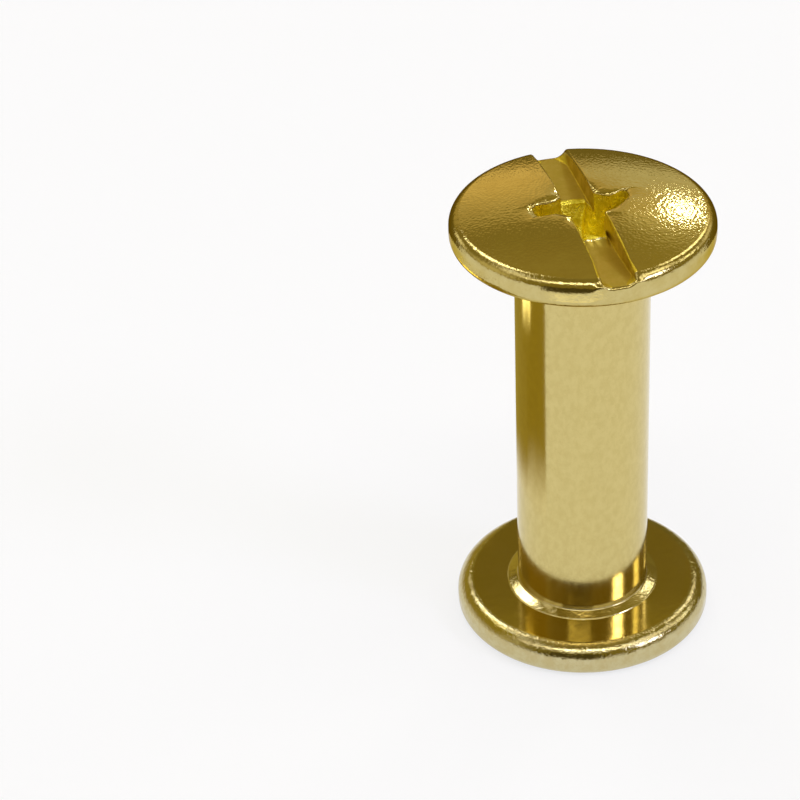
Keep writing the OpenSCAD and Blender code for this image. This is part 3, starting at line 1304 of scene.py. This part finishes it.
    def build(self) -> bpy.types.Object:
        """Builds the screw's skin and turns it to the direction of the slot.

        Returns:
            The finished piece.
        """
        skin = Skin()
        turned = _Turned(skin, self.slot_turn)
        strip, floor_strip = self.end_strip(), self.floor_strip()
        halves = [self.land_half(seed, edge) for seed, edge in zip(self.edge_seeds, self.cross_edge_r)]
        slot = self.outline.slot_steps
        # The near slot's edge rows take the slot walls' rougher, deep-tinted brass, painted shade that
        # dulls their highlight line; the other edge rows keep the dome's finish.
        shaded_edge_columns = (slice(-slot, None), slice(None, slot))
        bright_columns = (slice(None, 1 - slot), slice(slot - 1, None))
        # The burr rows take the recess's painted bounce-light brass on one half and the burr's
        # painted-highlight brass on the other.
        burr_faces = (Face.RECESS, Face.BURR)
        for half, (dome, rim, wall) in enumerate(halves):
            edge_rows = dome[: self.edge_steps + 1]
            turned.add(edge_rows[:, shaded_edge_columns[half]], Face.SLOT_WALL, half)
            turned.add(edge_rows[:, bright_columns[half]], Face.DOME, half)
            turned.add(dome[self.edge_steps :], Face.DOME, half)
            turned.add(rim, Face.RIM, half)
            turned.add(wall[:, : slot + 1], Face.SLOT_WALL, half)
            turned.add(wall[:, slot:-slot], Face.RECESS, half)
            turned.add(wall[:, -slot - 1 :], Face.SLOT_WALL, half)
        foot = halves[0][2][-1]
        for mirror in (False, True):
            for half in (0, 1):
                turned.add(strip, Face.RIM, half, mirror)
                turned.add(floor_strip, Face.RIM, half, mirror)
                seed = self.burr_seed + 2 * half + mirror
                floor = self.floor_quarter(foot, floor_strip[0], seed, self.burr_h[half])
                turned.add(floor[: self.burr_rows + 1], burr_faces[half], half, mirror)
                turned.add(floor[self.burr_rows :], Face.SLOT_FLOOR, half, mirror)
        walls, tip = self.pit(self.pit_edge(foot, floor_strip[0])[2])
        turned.add(walls, Face.RECESS)
        turned.add(tip, Face.RECESS)

        turns = []
        for half, (_, rim, _) in enumerate(halves):
            edge = np.concatenate([rim[-1], self.slot_end_edge()])
            turns.append(np.arctan2(edge[:, 1], edge[:, 0]) % FULL_TURN + half * math.pi)
        angles = np.concatenate([*turns, [turns[0][0] + FULL_TURN]]) + self.slot_turn
        skin.add(revolved(self.lower_profile(), angles), Face.RIM)
        skin.warp(self.skewed)
        skin.warp(self.lifted)
        fillet_foot = self.sizes.seat_z - self.shank_fillet_r
        thread = self.thread.surface(
            angles, self.sizes.tip_z + self.tip_chamfer, fillet_foot, self.shank_r, self.thread_depth
        )
        skin.add(thread, Face.THREAD)
        skin.add(revolved(self.tip_profile(), angles), Face.THREAD)
        return skin.build("domed_screw", math.radians(34))

    def slot_end_edge(self) -> np.ndarray:
        """The foot of the floor's rounded edge across the slot on -X, without its two ends."""
        last = self.floor_strip()[-1]
        return np.concatenate([last[1:], last[-2:0:-1] * [1, -1, 1]]) * [-1, 1, 1]


class _Turned:
    """Adds grids to a skin after turning them to the slot's direction."""

    def __init__(self, skin: Skin, turn: float) -> None:
        """Keeps the skin and the turn."""
        self._skin = skin
        self._turn = turn

    def add(self, grid: np.ndarray, face: Face, half: int = 0, mirror: bool = False) -> None:
        """Adds a grid, mirrored across the slot if asked, to either half of the head.

        Args:
            grid: Points with X along the slot.
            face: The finish of the grid.
            half: 0 as drawn, 1 turned by half a turn.
            mirror: Whether y changes its sign first.
        """
        points = grid * [1, -1, 1] if mirror else grid
        angle = self._turn + half * math.pi
        cos, sin = math.cos(angle), math.sin(angle)
        turn = np.array([[cos, sin, 0], [-sin, cos, 0], [0, 0, 1]])
        self._skin.add(points @ turn, face)


# ---------------------------------------------------------------------------- finishes


class Tree:
    """A short way to wire the nodes of a material, a world or a group."""

    def __init__(self, nodes: bpy.types.NodeTree) -> None:
        """Keeps the tree."""
        self.nodes = nodes

    @classmethod
    def of(cls, owner: bpy.types.Material | bpy.types.World) -> "Tree":
        """Gives a new material or world an empty node tree.

        Args:
            owner: The material or world.

        Returns:
            The wiring of its tree.
        """
        owner.use_nodes = True
        owner.node_tree.nodes.clear()
        return cls(owner.node_tree)

    def add(self, kind: str, settings: dict | None = None, **inputs: object) -> bpy.types.Node:
        """Adds a node and feeds its inputs.

        Args:
            kind: The node's type.
            settings: Values of the node's own properties.
            **inputs: Constants or output sockets, by socket name with _ for a space, or by
                i and a number.

        Returns:
            The node.
        """
        node = self.nodes.nodes.new(kind)
        for key, value in (settings or {}).items():
            setattr(node, key, value)
        for key, value in inputs.items():
            by_number = key[0] == "i" and key[1:].isdigit()
            socket = node.inputs[int(key[1:])] if by_number else node.inputs[key.replace("_", " ")]
            if isinstance(value, bpy.types.NodeSocket):
                self.nodes.links.new(value, socket)
            else:
                socket.default_value = value
        return node

    def math(self, operation: str, *values: object) -> bpy.types.NodeSocket:
        """Adds a Math node and returns its output."""
        inputs = {f"i{number}": value for number, value in enumerate(values)}
        return self.add("ShaderNodeMath", {"operation": operation}, **inputs).outputs[0]

    def blend(
        self, share: object, first: tuple[float, ...], second: tuple[float, ...]
    ) -> bpy.types.NodeSocket:
        """Mixes two colours by a share and returns the output."""
        settings = {"data_type": "RGBA"}
        return self.add("ShaderNodeMix", settings, i0=share, i6=(*first, 1.0), i7=(*second, 1.0)).outputs[2]

    def span(
        self, value: object, start: float, end: float, low: object, high: object
    ) -> bpy.types.NodeSocket:
        """Maps start..end smoothly onto low..high and returns the output.

        Args:
            value: What is mapped.
            start: Where the rise starts.
            end: Where it ends.
            low: Result up to the start.
            high: Result from the end on.

        Returns:
            The output.
        """
        settings = {"interpolation_type": "SMOOTHSTEP"}
        node = self.add("ShaderNodeMapRange", settings, i0=value, i1=start, i2=end, i3=low, i4=high)
        return node.outputs[0]


class EffectGroups:
    """The shader effects that several finishes share, each built once as a node group."""

    FINE_MOTTLE = 4.3
    BROAD_SHARE = 0.65
    MOTTLE_LEVELS = (0.36, 0.64)
    SWELL_SCALE = 0.33
    SWELL_SHARE = 0.35
    HAIRLINE_TURNS = (0.5, 2.1)
    HAIRLINE_DRAW = (1.0, 14.0, 14.0)
    HAIRLINE_W = 0.012

    def __init__(self) -> None:
        """Builds the groups."""
        self.mottle = self._mottle()
        self.grain = self._grain()
        self.scratches = self._scratches()

    @staticmethod
    def _new(
        name: str, inputs: dict[str, float], output: str
    ) -> tuple[bpy.types.NodeTree, Tree, bpy.types.bpy_prop_collection, bpy.types.NodeSocket]:
        """Starts a group with float sockets.

        Args:
            name: Name of the group.
            inputs: Input sockets and their defaults.
            output: Name of the output socket.

        Returns:
            The group, its wiring, its input sockets and the socket that its result goes to.
        """
        group = bpy.data.node_groups.new(name, "ShaderNodeTree")
        for socket, value in inputs.items():
            made = group.interface.new_socket(name=socket, in_out="INPUT", socket_type="NodeSocketFloat")
            made.default_value = value
        group.interface.new_socket(name=output, in_out="OUTPUT", socket_type="NodeSocketFloat")
        tree = Tree(group)
        given = tree.add("NodeGroupInput").outputs
        return group, tree, given, tree.add("NodeGroupOutput").inputs[output]

    def _mottle(self) -> bpy.types.NodeTree:
        """Cloudy unevenness of the plating, as two sizes of noise, drawn out along the axis.

        Returns:
            The group.
        """
        group, tree, given, end = self._new("plating_mottle", {"Scale": 900.0, "Stretch": 1.0}, "Mask")
        place = tree.add("ShaderNodeTexCoord").outputs["Object"]
        size = tree.add("ShaderNodeCombineXYZ", X=1.0, Y=1.0, Z=given["Stretch"]).outputs[0]
        place = tree.add("ShaderNodeVectorMath", {"operation": "MULTIPLY"}, i0=place, i1=size).outputs[0]
        scale = given["Scale"]
        broad = tree.add("ShaderNodeTexNoise", Vector=place, Scale=scale, Detail=3.0, Roughness=0.55)
        fine_scale = tree.math("MULTIPLY", scale, self.FINE_MOTTLE)
        fine = tree.add("ShaderNodeTexNoise", Vector=place, Scale=fine_scale, Detail=3.0, Roughness=0.6)
        fine_part = tree.math("MULTIPLY", fine.outputs[0], 1 - self.BROAD_SHARE)
        both = tree.math("MULTIPLY_ADD", broad.outputs[0], self.BROAD_SHARE, fine_part)
        tree.nodes.links.new(tree.span(both, *self.MOTTLE_LEVELS, 0.0, 1.0), end)
        return group

    def _grain(self) -> bpy.types.NodeTree:
        """Fine pebbled grain that a struck face keeps, as rounded cells over a noise.

        Returns:
            The group.
        """
        group, tree, given, end = self._new("struck_grain", {"Scale": 9000.0}, "Height")
        place = tree.add("ShaderNodeTexCoord").outputs["Object"]
        scale = given["Scale"]
        feature = {"feature": "SMOOTH_F1"}
        cells = tree.add("ShaderNodeTexVoronoi", feature, Vector=place, Scale=scale, Smoothness=0.6)
        swell_scale = tree.math("MULTIPLY", scale, self.SWELL_SCALE)
        swell = tree.add("ShaderNodeTexNoise", Vector=place, Scale=swell_scale, Detail=2.0)
        height = tree.math("MULTIPLY_ADD", swell.outputs[0], self.SWELL_SHARE, cells.outputs["Distance"])
        tree.nodes.links.new(height, end)
        return group

    def _scratches(self) -> bpy.types.NodeTree:
        """Short hairlines from handling, as the thin ridges of two stretched noises.

        Returns:
            The group.
        """
        group, tree, given, end = self._new("handling_hairlines", {"Scale": 700.0}, "Mask")
        place = tree.add("ShaderNodeTexCoord").outputs["Object"]
        found = []
        for turn in self.HAIRLINE_TURNS:
            lay = tree.add(
                "ShaderNodeMapping", Vector=place, Rotation=(0.3, 0.2, turn), Scale=self.HAIRLINE_DRAW
            ).outputs[0]
            noise = tree.add("ShaderNodeTexNoise", Vector=lay, Scale=given["Scale"], Detail=1.0)
            ridge = tree.math("ABSOLUTE", tree.math("SUBTRACT", noise.outputs[0], 0.5))
            found.append(tree.span(ridge, 0.0, self.HAIRLINE_W, 1.0, 0.0))
        tree.nodes.links.new(tree.math("MAXIMUM", *found), end)
        return group


@dataclass(frozen=True)
class PlatedFinish:
    """One finish of the brass plating."""

    name: str
    light: tuple[float, float, float]
    deep: tuple[float, float, float]
    polish: float
    dull: float
    mottle_scale: float = 900.0
    mottle_stretch: float = 1.0
    mottle_height: float = 0.0
    grain_scale: float = 9000.0
    grain_height: float = 0.0
    hairlines: float = 0.0
    edge_tint: tuple[float, float, float] = (1.0, 1.0, 1.0)

    def material(self, effects: EffectGroups) -> bpy.types.Material:
        """Builds the finish as a metallic material with mottled colour, roughness and bump.

        Args:
            effects: The shared effect groups.

        Returns:
            The material.
        """
        made = bpy.data.materials.new(self.name)
        tree = Tree.of(made)
        mottle = self._group(tree, effects.mottle, Scale=self.mottle_scale, Stretch=self.mottle_stretch)
        colour = tree.blend(mottle, self.light, self.deep)
        roughness = tree.span(mottle, 0.0, 1.0, self.polish, self.dull)
        normal = self._bump(tree, mottle, self.mottle_height, None)
        if self.grain_height:
            grain = self._group(tree, effects.grain, Scale=self.grain_scale)
            normal = self._bump(tree, grain, self.grain_height, normal)
        if self.hairlines:
            lines = self._group(tree, effects.scratches)
            roughness = tree.math("MULTIPLY_ADD", lines, self.hairlines, roughness)
        shader = tree.add(
            "ShaderNodeBsdfPrincipled", Base_Color=colour, Metallic=1.0, Roughness=roughness,
            Specular_Tint=(*self.edge_tint, 1.0), Normal=normal,
        )
        tree.add("ShaderNodeOutputMaterial", Surface=shader.outputs[0])
        return made

    @staticmethod
    def _group(tree: Tree, group: bpy.types.NodeTree, **inputs: float) -> bpy.types.NodeSocket:
        """Places a shared group and returns its output."""
        return tree.add("ShaderNodeGroup", {"node_tree": group}, **inputs).outputs[0]

    @staticmethod
    def _bump(
        tree: Tree, height: bpy.types.NodeSocket, depth: float, under: bpy.types.NodeSocket | None
    ) -> bpy.types.NodeSocket:
        """Adds a bump of a depth in millimetres over the normal beneath it.

        Args:
            tree: The wiring.
            height: Height from 0 to 1.
            depth: What a height of 1 stands for, in millimetres.
            under: The normal beneath, or None for the surface's own.

        Returns:
            The bumped normal.
        """
        given = {"Normal": under} if under is not None else {}
        bump = tree.add("ShaderNodeBump", Height=height, Distance=depth * MM, Strength=1.0, **given)
        return bump.outputs[0]


FINISHES = {
    Face.DOME: PlatedFinish(
        "dome_struck_brass", (0.62, 0.51, 0.20), (0.58, 0.465, 0.165), 0.085, 0.12,
        mottle_scale=900.0, mottle_height=0.0007, grain_scale=9500.0, grain_height=0.0047,
    ),
    Face.RIM: PlatedFinish(
        "rim_bright_brass", (0.60, 0.50, 0.21), (0.56, 0.455, 0.17), 0.10, 0.16,
        mottle_scale=1900.0, mottle_height=0.006, hairlines=0.05, edge_tint=(0.62, 0.50, 0.22),
    ),
    # Recess: brightened, strongly yellow brass, painted bounce light that stands in for light thrown back
    # and forth inside the pit.
    Face.RECESS: PlatedFinish(
        "recess_struck_brass", (1.0, 0.88, 0.12), (0.76, 0.64, 0.045), 0.26, 0.36,
        mottle_scale=4200.0, mottle_height=0.012, grain_scale=13000.0, grain_height=0.012,
    ),
    # Slot floor: darker, deeper yellow brass than the plating, painted shade of the slot; its higher
    # roughness is the floor's duller finish.
    Face.SLOT_FLOOR: PlatedFinish(
        "slot_floor_brass", (0.56, 0.425, 0.08), (0.52, 0.39, 0.065), 0.36, 0.44,
        mottle_scale=1600.0, mottle_height=0.001, grain_scale=13000.0, grain_height=0.002,
    ),
    # Slot walls: deep yellow brass with almost no blue, painted bounce light of the slot; its higher
    # roughness is the walls' duller finish. The near slot's edge rows also take it.
    Face.SLOT_WALL: PlatedFinish(
        "slot_wall_brass", (0.74, 0.57, 0.05), (0.60, 0.45, 0.03), 0.38, 0.46,
        mottle_scale=1800.0, mottle_height=0.002, grain_scale=12000.0, grain_height=0.002,
    ),
    Face.THREAD: PlatedFinish(
        "thread_rolled_brass", (0.58, 0.47, 0.18), (0.50, 0.40, 0.13), 0.24, 0.36, mottle_scale=1600.0,
    ),
    Face.WALL: PlatedFinish(
        "barrel_drawn_brass", (0.635, 0.525, 0.214), (0.59, 0.48, 0.184), 0.11, 0.15,
        mottle_scale=4200.0, mottle_stretch=0.6, mottle_height=0.0006, hairlines=0.02,
    ),
    Face.FLANGE: PlatedFinish(
        "flange_pressed_brass", (0.63, 0.51, 0.18), (0.58, 0.46, 0.15), 0.10, 0.16,
        mottle_scale=900.0, mottle_height=0.0012, hairlines=0.02,
    ),
    # Barrel head's rim: paler, less saturated brass than the plating, a painted sheen of the floor's
    # reflection; the hairlines are handling marks.
    Face.FOOT_RIM: PlatedFinish(
        "foot_rim_worn_brass", (0.58, 0.51, 0.28), (0.54, 0.455, 0.22), 0.09, 0.15,
        mottle_scale=2300.0, mottle_height=0.008, hairlines=0.05,
    ),
    Face.RING: PlatedFinish(
        "foot_ring_brass", (0.68, 0.60, 0.34), (0.60, 0.50, 0.22), 0.07, 0.13,
        mottle_scale=1800.0, mottle_height=0.003,
    ),
    # Burr along the pit: the raised metal is real, its near-white colour is a painted highlight.
    Face.BURR: PlatedFinish(
        "burr_torn_brass", (0.95, 0.88, 0.60), (0.85, 0.72, 0.25), 0.14, 0.24,
        mottle_scale=3000.0, mottle_height=0.006,
    ),
}


# ---------------------------------------------------------------------------- studio


def pointing(azimuth: float, elevation: float) -> Vector:
    """The direction at an azimuth from the viewer's side towards +X, and an elevation, in degrees."""
    side, rise = math.radians(azimuth), math.radians(elevation)
    return Vector((math.sin(side) * math.cos(rise), -math.cos(side) * math.cos(rise), math.sin(rise)))


@dataclass(frozen=True)
class SoftBox:
    """A soft light far away, seen from the object in one direction.

    Angles are in degrees: azimuth from the viewer's side towards +X, elevation above the floor.
    """

    azimuth: float
    elevation: float
    width: float
    height: float
    softness: float
    colour: tuple[float, float, float]
    strength: float


@dataclass(frozen=True)
class Card:
    """An upright card beside the object: colour above, fading to another colour at its foot."""

    name: str
    course: tuple[tuple[float, float], ...]
    low: float
    high: float
    colour: tuple[float, float, float]
    foot: tuple[float, float, float]
    fade: tuple[float, float]
    ragged: float = 0.0


def bend(radius: float, start: float, end: float, steps: int = 16) -> tuple[tuple[float, float], ...]:
    """A course about the axis: radius (sin a, -cos a) for azimuths a in degrees from start to end."""
    angle = np.radians(np.linspace(start, end, steps + 1))
    return tuple(zip((radius * np.sin(angle)).tolist(), (-radius * np.cos(angle)).tolist()))


@dataclass
class Studio:
    """Floor, surroundings and camera."""

    lens: float = 138.46
    camera_elevation: float = 34.96
    camera_distance: float = 113.638
    camera_pan: float = 3.392
    camera_tilt: float = 0.303
    camera_roll: float = 0.088
    aim_z: float = 8.5
    floor_reach: float = 1000.0
    floor_rise: float = 170.0
    floor_glow: float = 0.745
    floor_colour: tuple[float, float, float] = (0.28, 0.28, 0.28)
    glow_colour: tuple[float, float, float] = (0.93, 0.945, 1.0)
    lamp_height: float = 300.0
    lamp_size: float = 260.0
    lamp_power: float = 0.23
    card_noise: float = 420.0
    surround: tuple[float, float, float] = (0.28, 0.22, 0.05)
    boxes: tuple[SoftBox, ...] = (
        # Above the viewer: the clear line along the front of both rims
        SoftBox(0, 66.5, 36, 6, 0.5, WARM_WHITE, 4.5),
        SoftBox(60, 60, 24, 8, 0.6, WARM_WHITE, 1.4),
        # At the left: the rims' left flanks and the foot ring's bright arc
        SoftBox(-100, 62, 18, 7, 0.6, (0.9, 0.95, 1.1), 1.05),
        SoftBox(-72, 52, 30, 10, 0.7, WARM_WHITE, 0.9),
        SoftBox(-82, 24, 36, 24, 0.7, (1.0, 0.95, 0.67), 0.42),
        SoftBox(-138, 49, 9, 7, 0.6, WARM_WHITE, 1.3),
        SoftBox(-125, 18, 12, 10, 0.6, (1.0, 0.98, 0.9), 1.0),
        SoftBox(180, 54, 40, 18, 0.7, (1.0, 0.81, 0.29), 0.085),
        SoftBox(-150, 50, 6, 12, 0.35, (1.0, 0.99, 0.97), 5.0),
        # At the right and behind it: the streaks on the barrel's foot and the lower face
        SoftBox(153, 41, 6, 16, 0.5, (1.0, 0.97, 0.88), 3.2),
        SoftBox(67, 37, 10, 8, 0.5, (0.66, 0.68, 1.0), 14.0),
        SoftBox(113, 36, 9, 7, 0.6, (1.0, 1.0, 0.9), 3.2),
        SoftBox(97, 55, 16, 12, 0.7, (1.0, 0.97, 0.9), 1.6),
        SoftBox(135, 22, 16, 12, 0.7, (1.0, 0.96, 0.88), 0.7),
        # Behind: the bright patch on the dome, its halo, and the dome's warm far side
        SoftBox(168.5, 29.5, 1.6, 1.4, 0.4, (0.86, 0.92, 1.0), 36.0),
        SoftBox(169, 35, 8, 8, 0.8, (1.0, 0.93, 0.62), 0.3),
        SoftBox(173, 20, 11, 9, 0.8, (0.4, 0.75, 1.0), 0.2),
        SoftBox(180, 17, 40, 20, 0.22, (1.0, 0.78, 0.42), 0.31),
        SoftBox(-172, 19, 8, 12, 0.7, (1.0, 0.66, 0.25), 0.3),
    )
    cards: tuple[Card, ...] = (
        Card(
            "left_card", bend(9.2, -58.0, -98.0), 0.2, 12.6,
            CARD_BRASS, CARD_FOOT, (0.8, 4.4), ragged=1.6,
        ),
        Card(
            "far_left_card", bend(9.2, -98.0, -155.0), 0.2, 5.8,
            SCREEN_BRASS, CARD_FOOT, (0.3, 3.6), ragged=1.6,
        ),
        Card(
            "far_left_screen", bend(14.0, -92.0, -160.0), 1.6, 7.4,
            SCREEN_BRASS, SCREEN_BRASS, (0.0, 1.0),
        ),
        Card(
            "left_glint", bend(9.0, -87.0, -108.0, 4), 7.2, 12.4,
            (3.0, 2.7, 1.5), CARD_BRASS, (9.3, 10.9), ragged=2.2,
        ),
        Card(
            "front_strip", ((-4.8, -12.0), (2.8, -12.0)), 9.6, 11.8,
            (1.35, 1.3, 1.12), (1.35, 1.3, 1.12), (0.0, 9.0),
        ),
        Card(
            "front_card", ((-27.6, -45.0), (13.2, -45.0)), 0.2, 35.0,
            (0.09, 0.07, 0.02), (0.7, 0.64, 0.5), (0.0, 7.0),
        ),
        Card(
            "back_card", ((-60.0, 26.0), (60.0, 26.0)), 0.3, 24.0,
            (0.21, 0.16, 0.03), (0.21, 0.16, 0.03), (0.0, 20.0),
        ),
    )

    def camera(self) -> None:
        """Puts the camera at the viewing angle and makes it the scene's camera."""
        data = bpy.data.cameras.new("view")
        data.lens = self.lens
        data.sensor_width = 36.0
        data.clip_start = 0.005
        data.clip_end = 5.0
        rise = math.radians(self.camera_elevation)
        way = pointing(0.0, self.camera_elevation)
        turn = Matrix.Rotation(math.pi / 2 - rise, 4, "X")
        turn = turn @ Matrix.Rotation(math.radians(self.camera_pan), 4, "Y")
        turn = turn @ Matrix.Rotation(math.radians(self.camera_tilt), 4, "X")
        turn = turn @ Matrix.Rotation(math.radians(self.camera_roll), 4, "Z")
        made = add_object("view", data)
        spot = Vector((0, 0, self.aim_z)) + way * self.camera_distance
        made.matrix_world = Matrix.Translation(spot * MM) @ turn
        bpy.context.scene.camera = made

    def floor(self) -> None:
        """Lays a plain white floor that sweeps up far away and keeps the object's shadow.

        Its height is rise * s(r / reach), where s climbs smoothly from 0 halfway out to 1.
        """
        radius = np.concatenate([[0.0], np.linspace(0.5, 1.0, 13)]) * self.floor_reach
        low = min(0.0, float(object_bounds()[0][2])) / MM
        height = low + self.floor_rise * risen(radius / self.floor_reach, 0.5, 1.0)
        grid = revolved(np.stack([radius, height], axis=-1), np.linspace(0, FULL_TURN, 65)) * MM
        mesh = bpy.data.meshes.new("floor")
        mesh.from_pydata(grid.reshape(-1, 3).tolist(), [], grid_quads(*grid.shape[:2]).tolist())
        weld(mesh)
        mesh.shade_smooth()
        made = add_object("floor", mesh)
        made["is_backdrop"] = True
        material = bpy.data.materials.new("floor_white")
        tree = Tree.of(material)
        path = tree.add("ShaderNodeLightPath").outputs
        seen = tree.math("MAXIMUM", path["Is Camera Ray"], path["Is Glossy Ray"])
        seen = tree.math("MAXIMUM", seen, path["Is Transmission Ray"])
        glow = tree.math("MULTIPLY", seen, self.floor_glow)
        white = tree.add("ShaderNodeBsdfDiffuse", Color=(*self.floor_colour, 1.0)).outputs[0]
        light = tree.add("ShaderNodeEmission", Color=(*self.glow_colour, 1.0), Strength=glow).outputs[0]
        both = tree.add("ShaderNodeAddShader", i0=white, i1=light).outputs[0]
        tree.add("ShaderNodeOutputMaterial", Surface=both)
        mesh.materials.append(material)

    def lamp(self) -> None:
        """Hangs a broad white lamp over the floor, which the metal doesn't mirror."""
        data = bpy.data.lights.new("lamp", "AREA")
        data.shape = "DISK"
        data.size = self.lamp_size * MM
        data.energy = self.lamp_power
        made = add_object("lamp", data)
        made.location = (0, 0, self.lamp_height * MM)
        made.visible_glossy = False

    def card(self, card: Card) -> None:
        """Stands an upright card on the floor, which only polished faces see.

        Args:
            card: Its course, height and colours.
        """
        course = np.array(card.course, float)
        feet = np.column_stack([course, np.full(len(course), card.low)])
        heads = np.column_stack([course, np.full(len(course), card.high)])
        points = np.concatenate([feet, heads]) * MM
        mesh = bpy.data.meshes.new(card.name)
        mesh.from_pydata(points.tolist(), [], grid_quads(2, len(course)).tolist())
        made = add_object(card.name, mesh)
        made.visible_camera = False
        made.visible_shadow = False
        made.visible_diffuse = False
        made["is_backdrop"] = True
        material = bpy.data.materials.new(card.name)
        tree = Tree.of(material)
        place = tree.add("ShaderNodeTexCoord").outputs["Object"]
        height = tree.add("ShaderNodeSeparateXYZ", Vector=place).outputs[2]
        noise = tree.add("ShaderNodeTexNoise", Vector=place, Scale=self.card_noise, Detail=3.0).outputs[0]
        ragged = tree.math("MULTIPLY_ADD", noise, card.ragged * MM, height)
        start, end = (level * MM for level in card.fade)
        share = tree.span(ragged, start, end, 0.0, 1.0)
        colour = tree.blend(share, card.foot, card.colour)
        light = tree.add("ShaderNodeEmission", Color=colour, Strength=1.0).outputs[0]
        tree.add("ShaderNodeOutputMaterial", Surface=light)
        mesh.materials.append(material)

    @staticmethod
    def _soft_box_group() -> bpy.types.NodeTree:
        """A soft box as a function of direction.

        The direction is brought into the box's own frame and divided by the sines of its half
        sizes. The light is full inside the unit circle less the softness and fades to its edge.

        Returns:
            The group.
        """
        group = bpy.data.node_groups.new("soft_box", "ShaderNodeTree")
        sockets = {
            "Direction": "NodeSocketVector", "Turn": "NodeSocketVector", "Size": "NodeSocketVector",
            "Softness": "NodeSocketFloat", "Colour": "NodeSocketColor", "Strength": "NodeSocketFloat",
        }
        for name, kind in sockets.items():
            group.interface.new_socket(name=name, in_out="INPUT", socket_type=kind)
        group.interface.new_socket(name="Light", in_out="OUTPUT", socket_type="NodeSocketColor")
        tree = Tree(group)
        given = tree.add("NodeGroupInput").outputs
        local = tree.add(
            "ShaderNodeMapping", {"vector_type": "TEXTURE"},
            Vector=given["Direction"], Rotation=given["Turn"], Scale=given["Size"],
        ).outputs[0]
        split = tree.add("ShaderNodeSeparateXYZ", Vector=local).outputs
        across = tree.math("MULTIPLY", split[0], split[0])
        distance = tree.math("SQRT", tree.math("MULTIPLY_ADD", split[1], split[1], across))
        inner = tree.math("SUBTRACT", 1.0, given["Softness"])
        fade = tree.span(distance, inner, 1.0, 1.0, 0.0)
        ahead = tree.math("LESS_THAN", split[2], 0.0)
        power = tree.math("MULTIPLY", tree.math("MULTIPLY", fade, ahead), given["Strength"])
        scaled = {"operation": "SCALE"}
        light = tree.add("ShaderNodeVectorMath", scaled, i0=given["Colour"], i3=power).outputs[0]
        group.links.new(light, tree.add("NodeGroupOutput").inputs["Light"])
        return group

    def world(self) -> None:
        """Makes the surroundings: a dim warm room with soft boxes."""
        world = bpy.data.worlds.new("studio")
        bpy.context.scene.world = world
        tree = Tree.of(world)
        group = self._soft_box_group()
        direction = tree.add("ShaderNodeTexCoord").outputs["Generated"]
        total: object = self.surround
        for box in self.boxes:
            turn = pointing(box.azimuth, box.elevation).to_track_quat("-Z", "Y").to_euler()
            size = (math.sin(math.radians(box.width)), math.sin(math.radians(box.height)), 1.0)
            light = tree.add(
                "ShaderNodeGroup", {"node_tree": group}, Direction=direction, Turn=tuple(turn), Size=size,
                Softness=box.softness, Colour=(*box.colour, 1.0), Strength=box.strength,
            ).outputs[0]
            total = tree.add("ShaderNodeVectorMath", {"operation": "ADD"}, i0=total, i1=light).outputs[0]
        room = tree.add("ShaderNodeBackground", Color=total, Strength=1.0).outputs[0]
        tree.add("ShaderNodeOutputWorld", Surface=room)

    def view(self) -> None:
        """Sets the plain view transform."""
        bpy.context.scene.view_settings.view_transform = "Standard"

    def build(self) -> None:
        """Builds the whole studio."""
        self.camera()
        self.floor()
        self.lamp()
        for card in self.cards:
            self.card(card)
        self.world()
        self.view()


# ---------------------------------------------------------------------------- the whole


def place(piece: bpy.types.Object, node: str, finishes: list[bpy.types.Material]) -> None:
    """Gives a piece its finishes and lets it stand for its CAD node.

    Args:
        piece: The finished piece.
        node: The CAD node and body of the same name.
        finishes: The materials, in the order of Face.
    """
    for finish in finishes:
        piece.data.materials.append(finish)
    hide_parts(node)
    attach(piece, node)


def main() -> None:
    """Builds the two pieces and the studio."""
    logging.basicConfig(level=logging.INFO, format="%(name)s: %(message)s")
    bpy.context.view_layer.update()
    sizes = PartSizes.from_frame()
    thread = ThreadForm()
    effects = EffectGroups()
    finishes = [FINISHES[face].material(effects) for face in Face]
    place(BarrelPost(sizes, thread).build(), "barrel", finishes)
    place(DomedScrew(sizes, thread).build(), "screw", finishes)
    Studio().build()


if __name__ == "__main__":
    main()
